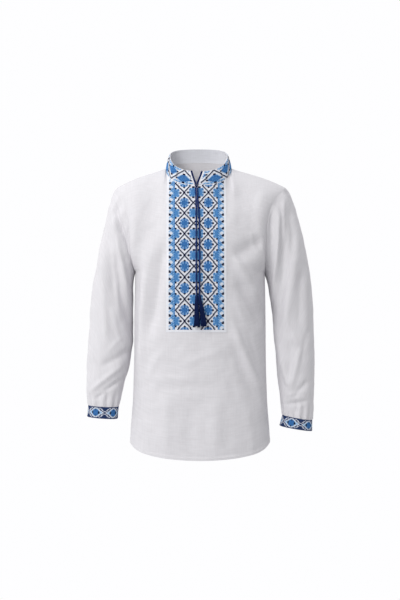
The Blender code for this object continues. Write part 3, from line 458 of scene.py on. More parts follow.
# Cross stitches. A chart shows a quarter or a half of one repeat, and the rest is its mirror image.
# N navy, D dark blue, B mid blue, L light blue, P pale blue, W white, and a dot for bare linen.
STITCH_HEIGHT = 0.00211
THREADS = {
    "N": (0.008, 0.010, 0.040),
    "D": (0.022, 0.045, 0.130),
    "B": (0.050, 0.185, 0.460),
    "L": (0.090, 0.270, 0.570),
    "P": (0.360, 0.560, 0.780),
    "W": (0.720, 0.760, 0.840),
}
THICK = "ND"  # the threads that are drawn tight and thick
LATTICE = (
    "LLLLLLNNN.WNN",
    "LLLLPL.N..WNN",
    "LLLLPP...WNNW",
    "LLLLLL..WNNW.",
    "LLPLLL.WNNW..",
    "LLPLL.WNNW...",
    "NN...WNNW...N",
    "NN..WNNW...NN",
    "...WNNW..BPBB",
    "...WNNW.BBPBB",
    "..WNNW.BBBPBB",
    ".WNNW..PPBBBB",
    "WNNW...BPBBBB",
    "NNW..NNBBBBBB",
)
BORDER = (
    "BLPLLNNN",
    "LPLPWWNN",
    "LLPWWWWP",
    "BLPWWWWW",
    "LPLPWWWP",
    "LLLLPPPP",
    "BLPLLLP.",
    "LPLLLP..",
    "LLBLPNNN",
)
COLLAR_CHART = (
    "NNPLLPPLLPPLL..WNN",
    "NNPPLLPPLLPP..WNNW",
    "BBBBP..P..P..WNNW.",
    "BLBBBBP.....WNNW..",
    "BBLBBBBBNN.WNNW...",
    "LBBLBBBBNNWNNW..NN",
    "BBLBBBBP.WNNW...NN",
    "BLBBBBP.WNNW..PBBB",
    "BBBBBP.WNNW..PBLBB",
)
CUFF_CHART = (
    "DDDDDDDDDDDDD",
    "WWWDDWWDDDDDD",
    "NPWWWDDWWDDDD",
    "NBBPWWDDWWDDD",
    "BBBBPWWDDWWDD",
    "BBBBNPPWWDDWW",
    "BBBBNNPPPWWDD",
)
HALF_REPEAT = 12  # columns from one mirror line of a chart to the next
PANEL_COLUMNS = 35  # stitches from the slit to the border's edge
LATTICE_SHIFT = 2  # the first mirror line's distance from the slit, in stitches
LATTICE_ROWS = 27
CROSSING_ROW = 10  # the lowest row in which the lattice crosses
BORDER_START = 27
BORDER_ROWS = 9


def smooth(t):
    """0 to 1 with level ends."""
    t = max(0.0, min(1.0, t))
    return t * t * (3 - 2 * t)


def mix(a, b, t):
    return a + (b - a) * t


def through(values, place):
    """The value at a place from 0 to len(values) - 1 on a smooth curve through the values."""
    i = max(0, min(len(values) - 2, int(place)))
    t = place - i
    before = values[max(0, i - 1)]
    after = values[min(len(values) - 1, i + 2)]
    a, b = values[i], values[i + 1]
    slope_a, slope_b = (b - before) / 2, (after - a) / 2
    if i == 0:
        slope_a = b - a
    if i == len(values) - 2:
        slope_b = b - a
    return (
        a * (1 + 2 * t) * (1 - t) ** 2
        + b * t * t * (3 - 2 * t)
        + slope_a * t * (1 - t) ** 2
        - slope_b * t * t * (1 - t)
    )


def torso_level(z):
    """The torso's half width and its front and back distances at a height."""
    heights = [level.z for level in TORSO]
    i = max(0, min(len(heights) - 2, sum(z > h for h in heights) - 1))
    place = i + max(0.0, min(1.0, (z - heights[i]) / (heights[i + 1] - heights[i])))
    return Level(z, *(through([level[k] for level in TORSO], place) for k in (1, 2, 3)))


def slit_half(z):
    return SLIT_GAP + (SLIT_SPREAD - SLIT_GAP) * smooth((z - SLIT_V_Z) / (NECK_FRONT_Z - SLIT_V_Z))


def hem_z(x, half_width):
    r = min(1.0, abs(x) / half_width)
    return HEM_Z + HEM_RISE * mix(r**HEM_CORNER, r**2, HEM_CURVE)


def column_x(face, side, column, z, half_width):
    """Column 0 is the slit's edge or the centre of the back, 1 the panel's edge, 2 the side seam."""
    centre, gap = (SLIT_X, slit_half(z)) if face < 0 else (0.0, 0.0)
    if column <= 1:
        return centre + side * mix(gap, PANEL_HALF, column)
    start = math.asin((abs(centre + side * PANEL_HALF) / half_width) ** (ROUNDNESS / 2))
    angle = mix(start, math.pi / 2, column - 1)
    return side * half_width * math.sin(angle) ** (2 / ROUNDNESS)


def torso_point(face, side, column, z):
    level = torso_level(z)
    x = column_x(face, side, column, z, level.half_width)
    r = min(1.0, abs(x) / level.half_width)
    reach = level.front if face < 0 else level.back
    y = SEAM + (reach - SEAM) * (1 - r**ROUNDNESS) ** (1 / ROUNDNESS)
    return Vector((x, face * y, z))


def neck_point(face, side, angle):
    """The neckline, from the middle of the front or back at angle 0 to the shoulder seam."""
    if angle < 0:
        return neck_point(face, -side, -angle)
    power = 2 / NECK_POWER[face]
    depth, middle_z = (NECK_FRONT, NECK_FRONT_Z) if face < 0 else (NECK_BACK, NECK_BACK_Z)
    x = NECK_X + side * NECK_HALF * math.sin(angle) ** power
    y = SEAM + depth * max(0.0, math.cos(angle)) ** power
    return Vector((x, face * y, mix(middle_z, NECK_SIDE_Z, (angle / (math.pi / 2)) ** 2)))


def neck_angle(face, side, x):
    share = (x - NECK_X) * side / NECK_HALF
    return math.copysign(math.asin(min(1.0, abs(share)) ** (NECK_POWER[face] / 2)), share)


def column_angle(face, side, column):
    """The neckline's angle where a column of the front or back ends."""
    centre, gap = (SLIT_X, SLIT_SPREAD) if face < 0 else (NECK_X, 0.0)
    if column <= 1:
        return neck_angle(face, side, centre + side * mix(gap, PANEL_HALF, column))
    edge = neck_angle(face, side, centre + side * PANEL_HALF)
    return mix(edge, math.pi / 2, (column - 1) / SHOULDER_COLUMN)


def shoulder_point(face, side, share):
    """The shoulder seam, from the collar at 0 to the armhole at 1."""
    x = mix(NECK_X + side * NECK_HALF, side * SHOULDER_X[side], share)
    arch = SHOULDER_ARCH * math.sin(math.pi * share**SHOULDER_LATE)
    return Vector((x, face * SEAM, mix(NECK_SIDE_Z, SHOULDER_Z, share) + arch))


def armhole_point(face, side, turn):
    """The armhole's edge on the front or back, from the underarm at turn 0 to the shoulder at 1."""
    a = math.pi * turn
    rise = (1 - math.cos(a)) / 2
    underarm_x = torso_level(UNDERARM_Z).half_width
    x = mix(underarm_x, ARMHOLE_X[side], smooth(turn / ARMHOLE_START))
    x = mix(x, SHOULDER_X[side], rise**ARMHOLE_TURN)
    y = SEAM + (ARMHOLE_DEPTH - SEAM) * max(0.0, math.sin(a)) ** ARMHOLE_FULLNESS
    return Vector((side * x, face * y, mix(UNDERARM_Z, SHOULDER_Z, rise)))


def yoke_curve(face, side, column, turn):
    """A column above the underarms: it starts upright and ends on the neckline or the shoulder seam."""
    start = torso_point(face, side, column, UNDERARM_Z)
    last = 1 + SHOULDER_COLUMN
    if column > last:
        end = shoulder_point(face, side, (column - last) / (2 - last))
        steepness = FLAT
    else:
        angle = column_angle(face, side, column)
        end = neck_point(face, side, angle)
        steepness = mix(NECK_STEEPNESS[face], FLAT, (abs(angle) / (math.pi / 2)) ** NECK_FLATTENING)
    height = end.z - start.z
    depth = abs(end.y - start.y)
    across, up = YOKE_ARRIVE
    leave = Vector((0, 0, YOKE_LEAVE * height))
    arrive = Vector((0, -face * math.cos(steepness) * across * depth, math.sin(steepness) * up * height))
    t = turn
    return (
        start * (1 - t) ** 3
        + (start + leave) * 3 * (1 - t) ** 2 * t
        + (end - arrive) * 3 * (1 - t) * t**2
        + end * t**3
    )


def body_point(face, side, column, level):
    """A point of the front or back: level 0 is the hem, 1 the panel's bottom, 2 the underarm, 3 the top."""
    if level <= 1:
        half = torso_level(HEM_Z).half_width
        hem = hem_z(column_x(face, side, column, HEM_Z, half), half)
        return torso_point(face, side, column, mix(hem, PANEL_BOTTOM_Z, level))
    if level <= 2:
        return torso_point(face, side, column, mix(PANEL_BOTTOM_Z, UNDERARM_Z, level - 1))
    turn = level - 2
    point = yoke_curve(face, side, column, turn)
    if column <= 1:
        return point
    pull = smooth(column - 1) ** ARMHOLE_PULL
    return point + (armhole_point(face, side, turn) - yoke_curve(face, side, 2, turn)) * pull


def ring_point(ring, side, angle):
    """A sleeve ring's point: 0 is outside, a right angle in front, and a half turn against the body."""
    c, s = math.cos(angle), math.sin(angle)
    across = math.copysign(abs(c) ** (2 / SLEEVE_ROUNDNESS), c)
    front = math.copysign(abs(s) ** (2 / SLEEVE_ROUNDNESS), s)
    x = mix(ring.inner_x, ring.outer_x, (1 + across) / 2)
    z = mix(ring.inner_z, ring.outer_z, (1 + across) / 2)
    return Vector((side * x, ring.y - ring.depth * front, z))


def sleeve_ring(side, share):
    rings = SLEEVE_RINGS[side]
    place = share * (len(rings) - 1)
    return Ring(*(through([ring[k] for ring in rings], place) for k in range(len(Ring._fields))))


def sleeve_point(side, angle, share):
    """A point of the sleeve, which starts on the armhole and turns into plain rings."""
    face = -1 if angle <= math.pi else 1
    turn = 1 - (angle if angle <= math.pi else 2 * math.pi - angle) / math.pi
    edge = armhole_point(face, side, turn)
    edge.x += side * SEAM
    start = ring_point(SLEEVE_RINGS[side][0], side, angle)
    point = ring_point(sleeve_ring(side, share), side, angle)
    return point + (edge - start) * (1 - smooth(share / HEAD_SHARE))


def collar_point(face, side, angle, share):
    """A point of the collar's outside, from its bottom edge at 0 to its top edge at 1."""
    foot = neck_point(face, side, angle)
    middle_rise = COLLAR_FRONT_RISE if face < 0 else COLLAR_BACK_RISE
    rise = mix(middle_rise, COLLAR_SIDE_RISE, smooth(abs(angle) / (math.pi / 2)))
    inward = Vector((NECK_X - foot.x, -foot.y, 0)).normalized()
    return foot + Vector((0, 0, COLLAR_FOOT + rise * share)) + inward * COLLAR_LEAN * share**COLLAR_CURVE


def collar_end(side, share):
    """The angle at which one end of the collar stops, so that the two ends stand apart in a V."""
    return neck_angle(-1, side, SLIT_X + side * mix(SLIT_SPREAD, COLLAR_SPREAD, share))


def soft(t):
    """smooth for arrays."""
    t = np.clip(t, 0, 1)
    return t * t * (3 - 2 * t)


def crease_heights(creases, x, z):
    """How far the creases push places on a piece out or in."""
    total = np.zeros_like(x)
    for c in creases:
        run_x, run_z = c.x1 - c.x0, c.z1 - c.z0
        length = math.hypot(run_x, run_z)
        along = ((x - c.x0) * run_x + (z - c.z0) * run_z) / length**2
        away = ((x - c.x0) * run_z - (z - c.z0) * run_x) / length - c.bow * 4 * along * (1 - along)
        taper = soft(along / CREASE_END) * soft((1 - along) / CREASE_END)
        total += c.height * taper * np.exp(-((away / c.width) ** 2))
    return total


def rumple(points, scale, seed):
    """Uneven height from -1 to 1 at each point, in patches of a size."""
    flat = points.reshape(-1, 3)
    shift = Vector([seed * step for step in SEED_SHIFT])
    found = [noise.noise(Vector(p) / scale + shift) for p in flat]
    return np.array(found).reshape(points.shape[:-1])


def grid_normals(points, closed=False):
    """The outward direction at each point of a grid of rows."""
    if closed:
        across = np.roll(points, -1, 1) - np.roll(points, 1, 1)
    else:
        across = np.gradient(points, axis=1)
    return unit(np.cross(across, np.gradient(points, axis=0)))


def add_mesh(name, vertices, faces, finish):
    """A smooth-shaded mesh object from arrays."""
    mesh = bpy.data.meshes.new(name)
    mesh.from_pydata([tuple(v) for v in vertices], [], [tuple(f) for f in faces])
    mesh.materials.append(finish)
    mesh.shade_smooth()
    made = bpy.data.objects.new(name, mesh)
    bpy.context.scene.collection.objects.link(made)
    return made


def apply_modifier(piece, kind, **settings):
    """Adds a modifier and applies it."""
    bpy.ops.object.select_all(action="DESELECT")
    bpy.context.view_layer.objects.active = piece
    piece.select_set(True)
    made = piece.modifiers.new(kind.lower(), kind)
    for key, value in settings.items():
        setattr(made, key, value)
    bpy.ops.object.modifier_apply(modifier=made.name)
    piece.select_set(False)


def grid_face(i, j, k, columns):
    """The corners of a face between columns j and k, from row i to the next."""
    return i * columns + j, i * columns + k, (i + 1) * columns + k, (i + 1) * columns + j


def cloth_piece(name, points, finish, wall, closed=False, missing=()):
    """A shell over a grid of points, with a cloth map of real lengths, walled towards its inside."""
    rows, columns = points.shape[:2]
    flat = flat_map(points)
    faces, maps = [], []
    for i in range(rows - 1):
        for j in range(columns if closed else columns - 1):
            if (i, j) in missing:
                continue
            k = (j + 1) % columns
            faces.append(grid_face(i, j, k, columns))
            if closed and k == 0:
                turn = flat[i, -1, 0] + flat[i, 1, 0] - flat[i, 0, 0]
                maps += [flat[i, j], (turn, flat[i, j, 1]), (turn, flat[i + 1, j, 1]), flat[i + 1, j]]
            else:
                maps += [flat[i, j], flat[i, k], flat[i + 1, k], flat[i + 1, j]]
    made = add_mesh(name, points.reshape(-1, 3), faces, finish)
    cloth = made.data.uv_layers.new(name="cloth")
    cloth.uv.foreach_set("vector", np.array(maps, np.float32).ravel())
    apply_modifier(made, "SOLIDIFY", thickness=wall, offset=-1, use_even_offset=False)
    made.data.set_sharp_from_angle(angle=RIM_ANGLE)
    return made


def lengths_along(points, axis):
    """The distance gone at each point of a grid, along its rows or its columns."""
    step = np.linalg.norm(np.diff(points, axis=axis), axis=2)
    pad = [(0, 0), (0, 0)]
    pad[axis] = (1, 0)
    return np.cumsum(np.pad(step, pad), axis=axis)


def gone_along(line):
    """The distance gone at each point of a line."""
    return lengths_along(np.array(line)[None], 1)[0]


def flat_map(points):
    """Real lengths across and up a grid, for the weave."""
    across = lengths_along(points, 1)
    return np.stack([across - across.mean(1, keepdims=True), lengths_along(points, 0)], axis=2)


def unit(vectors):
    """Vectors of length 1."""
    return vectors / np.maximum(np.linalg.norm(vectors, axis=-1, keepdims=True), TINY)


def body_columns(face):
    """Each column's side and place, in the order that faces the cloth outwards."""
    inner, outer = BODY_COLUMNS
    half = [k / inner for k in range(inner)] + [1 + k / outer for k in range(outer + 1)]
    if face < 0:
        return [(-1, c) for c in reversed(half)] + [(1, c) for c in half]
    return [(1, c) for c in reversed(half)] + [(-1, c) for c in half[1:]]


def body_levels():
    """Each row's place: 0 is the hem, 1 the panel's bottom, 2 the underarm, 3 the top."""
    below, between, above = BODY_ROWS
    fold = HEM_FOLD / (PANEL_BOTTOM_Z - HEM_Z)
    levels = [fold * share for share in HEM_SHARES]
    levels += [mix(levels[-1], 1, k / below) for k in range(1, below)]
    levels += [1 + k / between for k in range(between)]
    return levels + [2 + k / above for k in range(above + 1)]


def body_surface(face, creases, seed):
    """The creased outer side of the front or back as a grid of points."""
    columns, levels = body_columns(face), body_levels()
    points = np.array([[body_point(face, side, c, level) for side, c in columns] for level in levels])
    normals = grid_normals(points)
    on_seam = np.abs(points[..., 1]) < ON_SEAM
    normals[on_seam, 1] = 0
    normals = unit(normals)
    column = np.array([c for side, c in columns])[None, :]
    level = np.array(levels)[:, None]
    fade = soft((2 - column) / FOLD_FADE) * soft((3 - level) / FOLD_TOP)
    loose = np.where((column <= 1) & (level >= 1) & (face < 0), UNDER_PANEL, 1.0)
    heights = crease_heights(creases, points[..., 0], points[..., 2])
    for size, depth in RUMPLES:
        heights += loose * depth * rumple(points, size, seed)
    across = lengths_along(points, 1)
    up = lengths_along(points, 0)
    seam = np.minimum(np.minimum(across, across[:, -1:] - across), up[-1:] - up)
    above_fold = up - HEM_FOLD
    pucker = rumple(points * PUCKER_STRETCH, PUCKER_SIZE, seed + PUCKER_SEED)
    pucker *= np.exp(-((above_fold / PUCKER_REACH) ** 2))
    heights = fade * heights + PUFF * (1 - np.exp(-((seam / SEAM_REACH) ** 2)))
    heights += soft(seam / HEM_EASE) * (HEM_STEP * (above_fold < 0) + HEM_PUCKER * pucker)
    return points + normals * heights[..., None]


def make_front(finish):
    """The front with its slit, and the embroidered panel that is sewn onto it."""
    columns, levels = body_columns(-1), body_levels()
    points = body_surface(-1, FRONT_CREASES, FRONT_SEED)
    middle = len(columns) // 2
    slit = {(i, middle - 1) for i in range(len(levels) - 1) if points[i + 1, middle, 2] > SLIT_END_Z}
    front = cloth_piece("front_cloth", points, finish.linen, LINEN_WALL, missing=slit)
    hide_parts("front")
    lifted = points + grid_normals(points) * PANEL_RISE
    inside = [j for j, (side, c) in enumerate(columns) if c <= 1]
    first = sum(level < 1 for level in levels)
    panel_points = lifted[first:, inside]
    cut = {(i - first, middle - 1 - inside[0]) for i, j in slit}
    panel = cloth_piece("panel_cloth", panel_points, finish.band, PANEL_WALL, missing=cut)
    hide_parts("front_panel")
    count = len(inside) // 2
    halves = {-1: panel_points[:, :count][:, ::-1], 1: panel_points[:, count:]}
    return front, panel, halves, points


def make_back(finish):
    points = body_surface(1, BACK_CREASES, BACK_SEED)
    back = cloth_piece("back_cloth", points, finish.linen, LINEN_WALL)
    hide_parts("back")
    return back, points


def panel_letter(column, row):
    """The thread of one stitch of the panel, counted from the slit and from the bottom."""
    if column >= BORDER_START:
        return BORDER[(row + 1) % BORDER_ROWS][column - BORDER_START]
    d = (column - LATTICE_SHIFT) % (2 * HALF_REPEAT)
    r = (row - CROSSING_ROW) % LATTICE_ROWS
    return LATTICE[min(r, LATTICE_ROWS - r)][min(d, 2 * HALF_REPEAT - d)]


def collar_letter(side, column, row):
    """The thread of one stitch of the collar, counted from the slit and from the top."""
    half = len(COLLAR_CHART)
    last = 2 * half - 1
    d = (column - COLLAR_PEAK[side]) % (2 * last)
    c = last - min(d, 2 * last - d)
    return COLLAR_CHART[row][c] if row < half else COLLAR_CHART[last - row][last - c]


def cuff_letter(column, row):
    """The thread of one stitch of a cuff, counted round from a rosette and from the top."""
    d = column % (2 * HALF_REPEAT)
    half = len(CUFF_CHART)
    return CUFF_CHART[min(row, 2 * half - 1 - row)][min(d, 2 * HALF_REPEAT - d)]


def add_bars(starts, ends, normals, width, height):
    """Vertices of many short threads, each a low ridge with sloping ends, and the triangles' corners."""
    along = ends - starts
    wide = unit(np.cross(normals, along)) * width / 2
    ridge_a = starts + along * THREAD_SLOPE + normals * height
    ridge_b = starts + along * (1 - THREAD_SLOPE) + normals * height
    corners = [starts - wide, starts + wide, ends + wide, ends - wide, ridge_a, ridge_b]
    vertices = np.stack(corners, axis=1).reshape(-1, 3)
    sides = np.array([(0, 4, 1), (1, 4, 5), (1, 5, 2), (2, 5, 3), (3, 5, 4), (3, 4, 0), (0, 1, 2), (0, 2, 3)])
    faces = sides[None] + 6 * np.arange(len(starts))[:, None, None]
    return vertices, faces.reshape(-1, 3)


def cross_stitches(name, grid, letters, finish, flip):
    """Crosses over the cells of a grid of corners, whose rows run upwards and whose columns run across."""
    rows, columns = len(letters), len(letters[0])
    chance = random.Random(rows * columns)
    normals = grid_normals(grid) * flip
    found, colours, places, widths, heights = [], [], [], [], []
    for i in range(rows):
        for j in range(columns):
            letter = letters[i][j]
            if letter != ".":
                found.append((i, j))
                shade = chance.uniform(*THREAD_SHADES)
                colours.append([min(1.0, shade * value) for value in THREADS[letter]] + [1.0])
                places.append(((j + 0.5) / columns, (i + 0.5) / rows))
                thick = letter in THICK
                widths.append([THICK_WIDTH if thick else THREAD_WIDTH])
                heights.append([THREAD_HEIGHT * (THICK_SHARE if thick else 1)])
    i, j = np.array(found).T
    normal = unit(normals[i, j] + normals[i + 1, j + 1])
    low_a, high_b = grid[i, j], grid[i + 1, j + 1]
    low_b, high_a = grid[i, j + 1], grid[i + 1, j]
    lift = normal * THREAD_LIFT
    widths, heights = np.array(widths), np.array(heights)
    under, faces = add_bars(low_a + lift, high_b + lift, normal, widths, heights)
    over, more = add_bars(low_b + lift, high_a + lift, normal, widths, heights * OVER_SHARE)
    vertices = np.concatenate([under, over])
    faces = np.concatenate([faces, more + len(under)])
    made = add_mesh(name, vertices, faces, finish)
    triangles = len(faces) // (2 * len(found))
    per_corner = np.repeat(np.tile(np.array(colours), (2, 1)), triangles * 3, axis=0)
    thread = made.data.color_attributes.new("thread", "FLOAT_COLOR", "CORNER")
    thread.data.foreach_set("color", per_corner.astype(np.float32).ravel())
    spot = np.array(BAKE_SPOT) / (columns, rows)
    spots = np.repeat(np.tile(np.array(places), (2, 1)), triangles, axis=0)[:, None] + spot[None]
    baked = made.data.uv_layers.new(name="OFBake")
    baked.uv.foreach_set("vector", spots.astype(np.float32).ravel())
    return made


def panel_grid(half):
    """Corners of the panel's stitches on one side of the slit, and how many fit in each column."""
    count = half.shape[1] - 1
    reach = (EMBROIDERY_HALF - SLIT_GAP) / (PANEL_HALF - SLIT_GAP)
    place = np.linspace(0, reach, PANEL_COLUMNS + 1) * count
    low = np.minimum(place.astype(int), count - 1)
    share = (place - low)[None, :, None]
    lines = half[:, low] * (1 - share) + half[:, low + 1] * share
    gone = lengths_along(lines, 0)
    starts = [np.interp(EMBROIDERY_BOTTOM_Z, lines[:, k, 2], gone[:, k]) for k in range(PANEL_COLUMNS + 1)]
    lengths = (gone[-1] - starts) / STITCH_HEIGHT
    rows = STITCH_HEIGHT * np.arange(int(max(lengths)) + 1)
    grid = [
        [np.interp(start + rows, gone[:, k], lines[:, k, axis]) for axis in range(3)]
        for k, start in enumerate(starts)
    ]
    return np.array(grid).transpose(2, 0, 1), np.minimum(lengths[:-1], lengths[1:]).astype(int)


def make_panel_stitches(halves, finish):
    """The panel's embroidery on both sides of the slit."""
    for side, word in SIDES:
        grid, fitting = panel_grid(halves[side])
        letters = [
            [panel_letter(c, r) if r < fitting[c] else "." for c in range(PANEL_COLUMNS)]
            for r in range(len(grid) - 1)
        ]
        made = cross_stitches(f"panel_stitches_{word}", grid, letters, finish.thread, side)
        yield made


def collar_place(side, place):
    """Face and angle at a place on the collar, from the slit at 0 past the shoulder at 1 to the back at 2."""
    if place <= 1:
        return -1, mix(column_angle(-1, side, 0), math.pi / 2, place)
    return 1, (2 - place) * math.pi / 2


def collar_at(side, place, share):
    """A point of the collar at a place along it, from its bottom edge at 0 to its top edge at 1."""
    face, angle = collar_place(side, place)
    return collar_point(face, side, angle, share)


def make_collar(finish):
    """The stand collar, whose ends stand apart in a V."""
    front, back = COLLAR_COLUMNS
    rows = []
    for k in range(COLLAR_ROWS + 1):
        share = k / COLLAR_ROWS
        row = []
        for side in (-1, 1):
            end = collar_end(side, share)
            half = [collar_point(-1, side, mix(end, math.pi / 2, j / front), share) for j in range(front + 1)]
            half += [collar_point(1, side, math.pi / 2 * (1 - j / back), share) for j in range(1, back + 1)]
            row += half if side < 0 else half[-2::-1]
        rows.append(row[::-1])
    collar = cloth_piece("collar_cloth", np.array(rows), finish.band, BAND_WALL)
    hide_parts("collar")
    return collar


def make_collar_stitches(finish):
    """The collar's embroidery, which starts at each side of the slit and meets in the middle of the back."""
    rows = 2 * len(COLLAR_CHART)
    shares = np.linspace(COLLAR_MARGIN, 1 - COLLAR_MARGIN, rows + 1)
    places = np.linspace(0, 2, COLLAR_PLACES)
    grids, letters = [], []
    for side in (1, -1):
        gone = gone_along([collar_at(side, place, 0.5) for place in places])
        at = np.interp(np.linspace(0, gone[-1], COLLAR_STITCHES + 1), gone, places)
        grids.append(np.array([[collar_at(side, place, share) for place in at] for share in shares]))
        chosen = []
        for r in range(rows):
            end = collar_end(side, shares[r + 1])
            row = []
            for c in range(COLLAR_STITCHES):
                face, angle = collar_place(side, at[c])
                open_end = face < 0 and angle < end + COLLAR_END_MARGIN
                row.append("." if open_end else collar_letter(side, c, rows - 1 - r))
            chosen.append(row)
        letters.append(chosen)
    grid = np.concatenate([grids[0], grids[1][:, ::-1][:, 1:]], axis=1)
    joined = [left + right[::-1] for left, right in zip(*letters)]
    made = cross_stitches("collar_stitches", grid, joined, finish.thread, 1)
    return made


def round_angles(side, count):
    """Angles round a sleeve that start at its seam under the arm, in the order that faces it outwards."""
    return [(math.pi + side * 2 * math.pi * k / count) % (2 * math.pi) for k in range(count)]


def gather_heights(kind, angle, distance, uneven):
    """Waves round a sleeve that die away from the edge at which they are sewn."""
    depth = kind.depth * (1 + kind.unevenness * uneven) * soft(1 - distance / kind.reach)
    return depth * np.cos(kind.waves * angle + kind.wander * uneven)


def make_sleeve(finish, side, word):
    """A sleeve with its folds, and gathers below its head and above its cuff."""
    angles = round_angles(side, SLEEVE_SIDES)
    shares = [k / SLEEVE_STEPS for k in range(SLEEVE_STEPS + 1)]
    points = np.array([[sleeve_point(side, angle, share) for angle in angles] for share in shares])
    normals = grid_normals(points, closed=True)
    angle = np.array(angles)[None, :]
    share = np.array(shares)[:, None]
    x, z = points[..., 0], points[..., 2]
    front = soft(0.5 + SLEEVE_BLEND * np.sin(angle))
    ends = soft(share / SLEEVE_FADE) * soft((1 - share) / SLEEVE_FADE)
    folds = front * crease_heights(SLEEVE_FRONT_CREASES[side], x, z)
    folds += (1 - front) * crease_heights(SLEEVE_BACK_CREASES[side], x, z)
    for size, depth in RUMPLES:
        folds += SLEEVE_RUMPLE * depth * rumple(points, size, SLEEVE_SEED + side)
    below = lengths_along(points, 0)
    above_cuff = below[-1:] - below
    uneven = rumple(points * GATHER_STRETCH, GATHER_PATCH, GATHER_SEED + side)
    head = soft(below / HEAD_GATHERS_START) * soft(np.cos(angle) + HEAD_GATHERS_WIDTH)
    heights = ends * folds + head * gather_heights(HEAD_GATHERS, angle, below, uneven)
    for kind in (CUFF_GATHERS, FINE_GATHERS):
        heights += gather_heights(kind, angle, above_cuff, uneven)
    seam = np.minimum(below, above_cuff)
    heights += PUFF * (1 - np.exp(-((seam / SEAM_REACH) ** 2)))
    points = points + normals * heights[..., None]
    sleeve = cloth_piece(f"sleeve_cloth_{word}", points, finish.linen, LINEN_WALL, closed=True)
    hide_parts(f"sleeve_{word}_upper", f"sleeve_{word}_lower")
    return sleeve


def make_cuff(finish, side, word):
    """A cuff and its stitches, whose first rosette shows at the front."""
    top, bottom = CUFF_RINGS[side]

    def point(angle, share):
        ring = Ring(*(mix(a, b, share) for a, b in zip(top, bottom)))
        return ring_point(ring, side, angle % (2 * math.pi))

    angles = round_angles(side, CUFF_SIDES)
    points = np.array([[point(a, k / CUFF_ROWS) for a in angles] for k in range(CUFF_ROWS + 1)])
    cuff = cloth_piece(f"cuff_cloth_{word}", points, finish.band, BAND_WALL, closed=True)
    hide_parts(f"cuff_{word}")
    turn = np.linspace(0, 2 * math.pi, CUFF_PLACES)
    first = math.pi / 2 + side * CUFF_TURN
    gone = gone_along([point(first + side * t, 0.5) for t in turn])
    at = np.interp((np.arange(CUFF_STITCHES + 1) - 0.5) / CUFF_STITCHES * gone[-1], gone, turn)
    at[0] = -at[1]
    rows = 2 * len(CUFF_CHART)
    shares = np.linspace(CUFF_MARGIN, 1 - CUFF_MARGIN, rows + 1)
    grid = np.array([[point(first + side * a, share) for a in at] for share in shares])
    letters = [[cuff_letter(c, r) for c in range(CUFF_STITCHES)] for r in range(rows)]
    made = cross_stitches(f"cuff_stitches_{word}", grid, letters, finish.thread, 1)
    return cuff, made


def front_y(x, z):
    """How far forward the front's cloth lies, without its creases."""
    side = 1 if x > SLIT_X else -1
    gap = slit_half(z)
    column = max(0.0, (abs(x - SLIT_X) - gap) / (PANEL_HALF - gap))
    if z <= UNDERARM_Z:
        return torso_point(-1, side, column, z).y
    low, high = 2.0, 3.0
    for _ in range(HALVINGS):
        level = (low + high) / 2
        if body_point(-1, side, column, level).z < z:
            low = level
        else:
            high = level
    return body_point(-1, side, column, low).y


def tie_point(side, z):
    """The middle of one tie at a height."""
    heights = [row.z for row in TIES]
    i = max(0, min(len(heights) - 2, sum(z < h for h in heights) - 1))
    place = i + (z - heights[i]) / (heights[i + 1] - heights[i])
    x = through([row.left_x if side > 0 else row.right_x for row in TIES], place)
    over_panel = through([row.over_panel for row in TIES], place)
    return Vector((x, front_y(x, z) - PANEL_TOP - CORD / 2 - over_panel, z))


def tube(path, radii):
    """Vertices and faces of a closed tube along a path, from its radius at each ring and angle."""
    path = np.array(path)
    tangents = unit(np.gradient(path, axis=0))
    side = unit(np.cross(tangents[0], TUBE_START))
    sides = []
    for tangent in tangents:
        side = unit(side - tangent * side.dot(tangent))
        sides.append(side)
    sides = np.array(sides)
    ups = np.cross(tangents, sides)
    count = radii.shape[1]
    turn = 2 * np.pi * np.arange(count) / count
    spread = np.cos(turn)[None, :, None] * sides[:, None] + np.sin(turn)[None, :, None] * ups[:, None]
    vertices = (path[:, None] + radii[..., None] * spread).reshape(-1, 3)
    faces = []
    for i in range(len(path) - 1):
        for j in range(count):
            k = (j + 1) % count
            faces.append(grid_face(i, j, k, count))
    last = (len(path) - 1) * count
    faces.append(tuple(range(count))[::-1])
    faces.append(tuple(last + j for j in range(count)))
    return vertices, faces


def twisted(path, radius, pitch, sides):
    """A tube with the plies of a twisted cord."""
    turn = 2 * np.pi * np.arange(sides) / sides
    phase = PLIES / 2 * (turn[None, :] - 2 * np.pi * gone_along(path)[:, None] / pitch)
    radii = radius * (1 - PLY_DEPTH + PLY_DEPTH * np.abs(np.cos(phase)))
    return tube(path, radii)


def together(name, parts, finish):
    """One object of several tubes."""
    vertices, faces, start = [], [], 0
    for part_vertices, part_faces in parts:
        vertices.append(part_vertices)
        faces += [tuple(start + v for v in face) for face in part_faces]
        start += len(part_vertices)
    return add_mesh(name, np.concatenate(vertices), faces, finish)


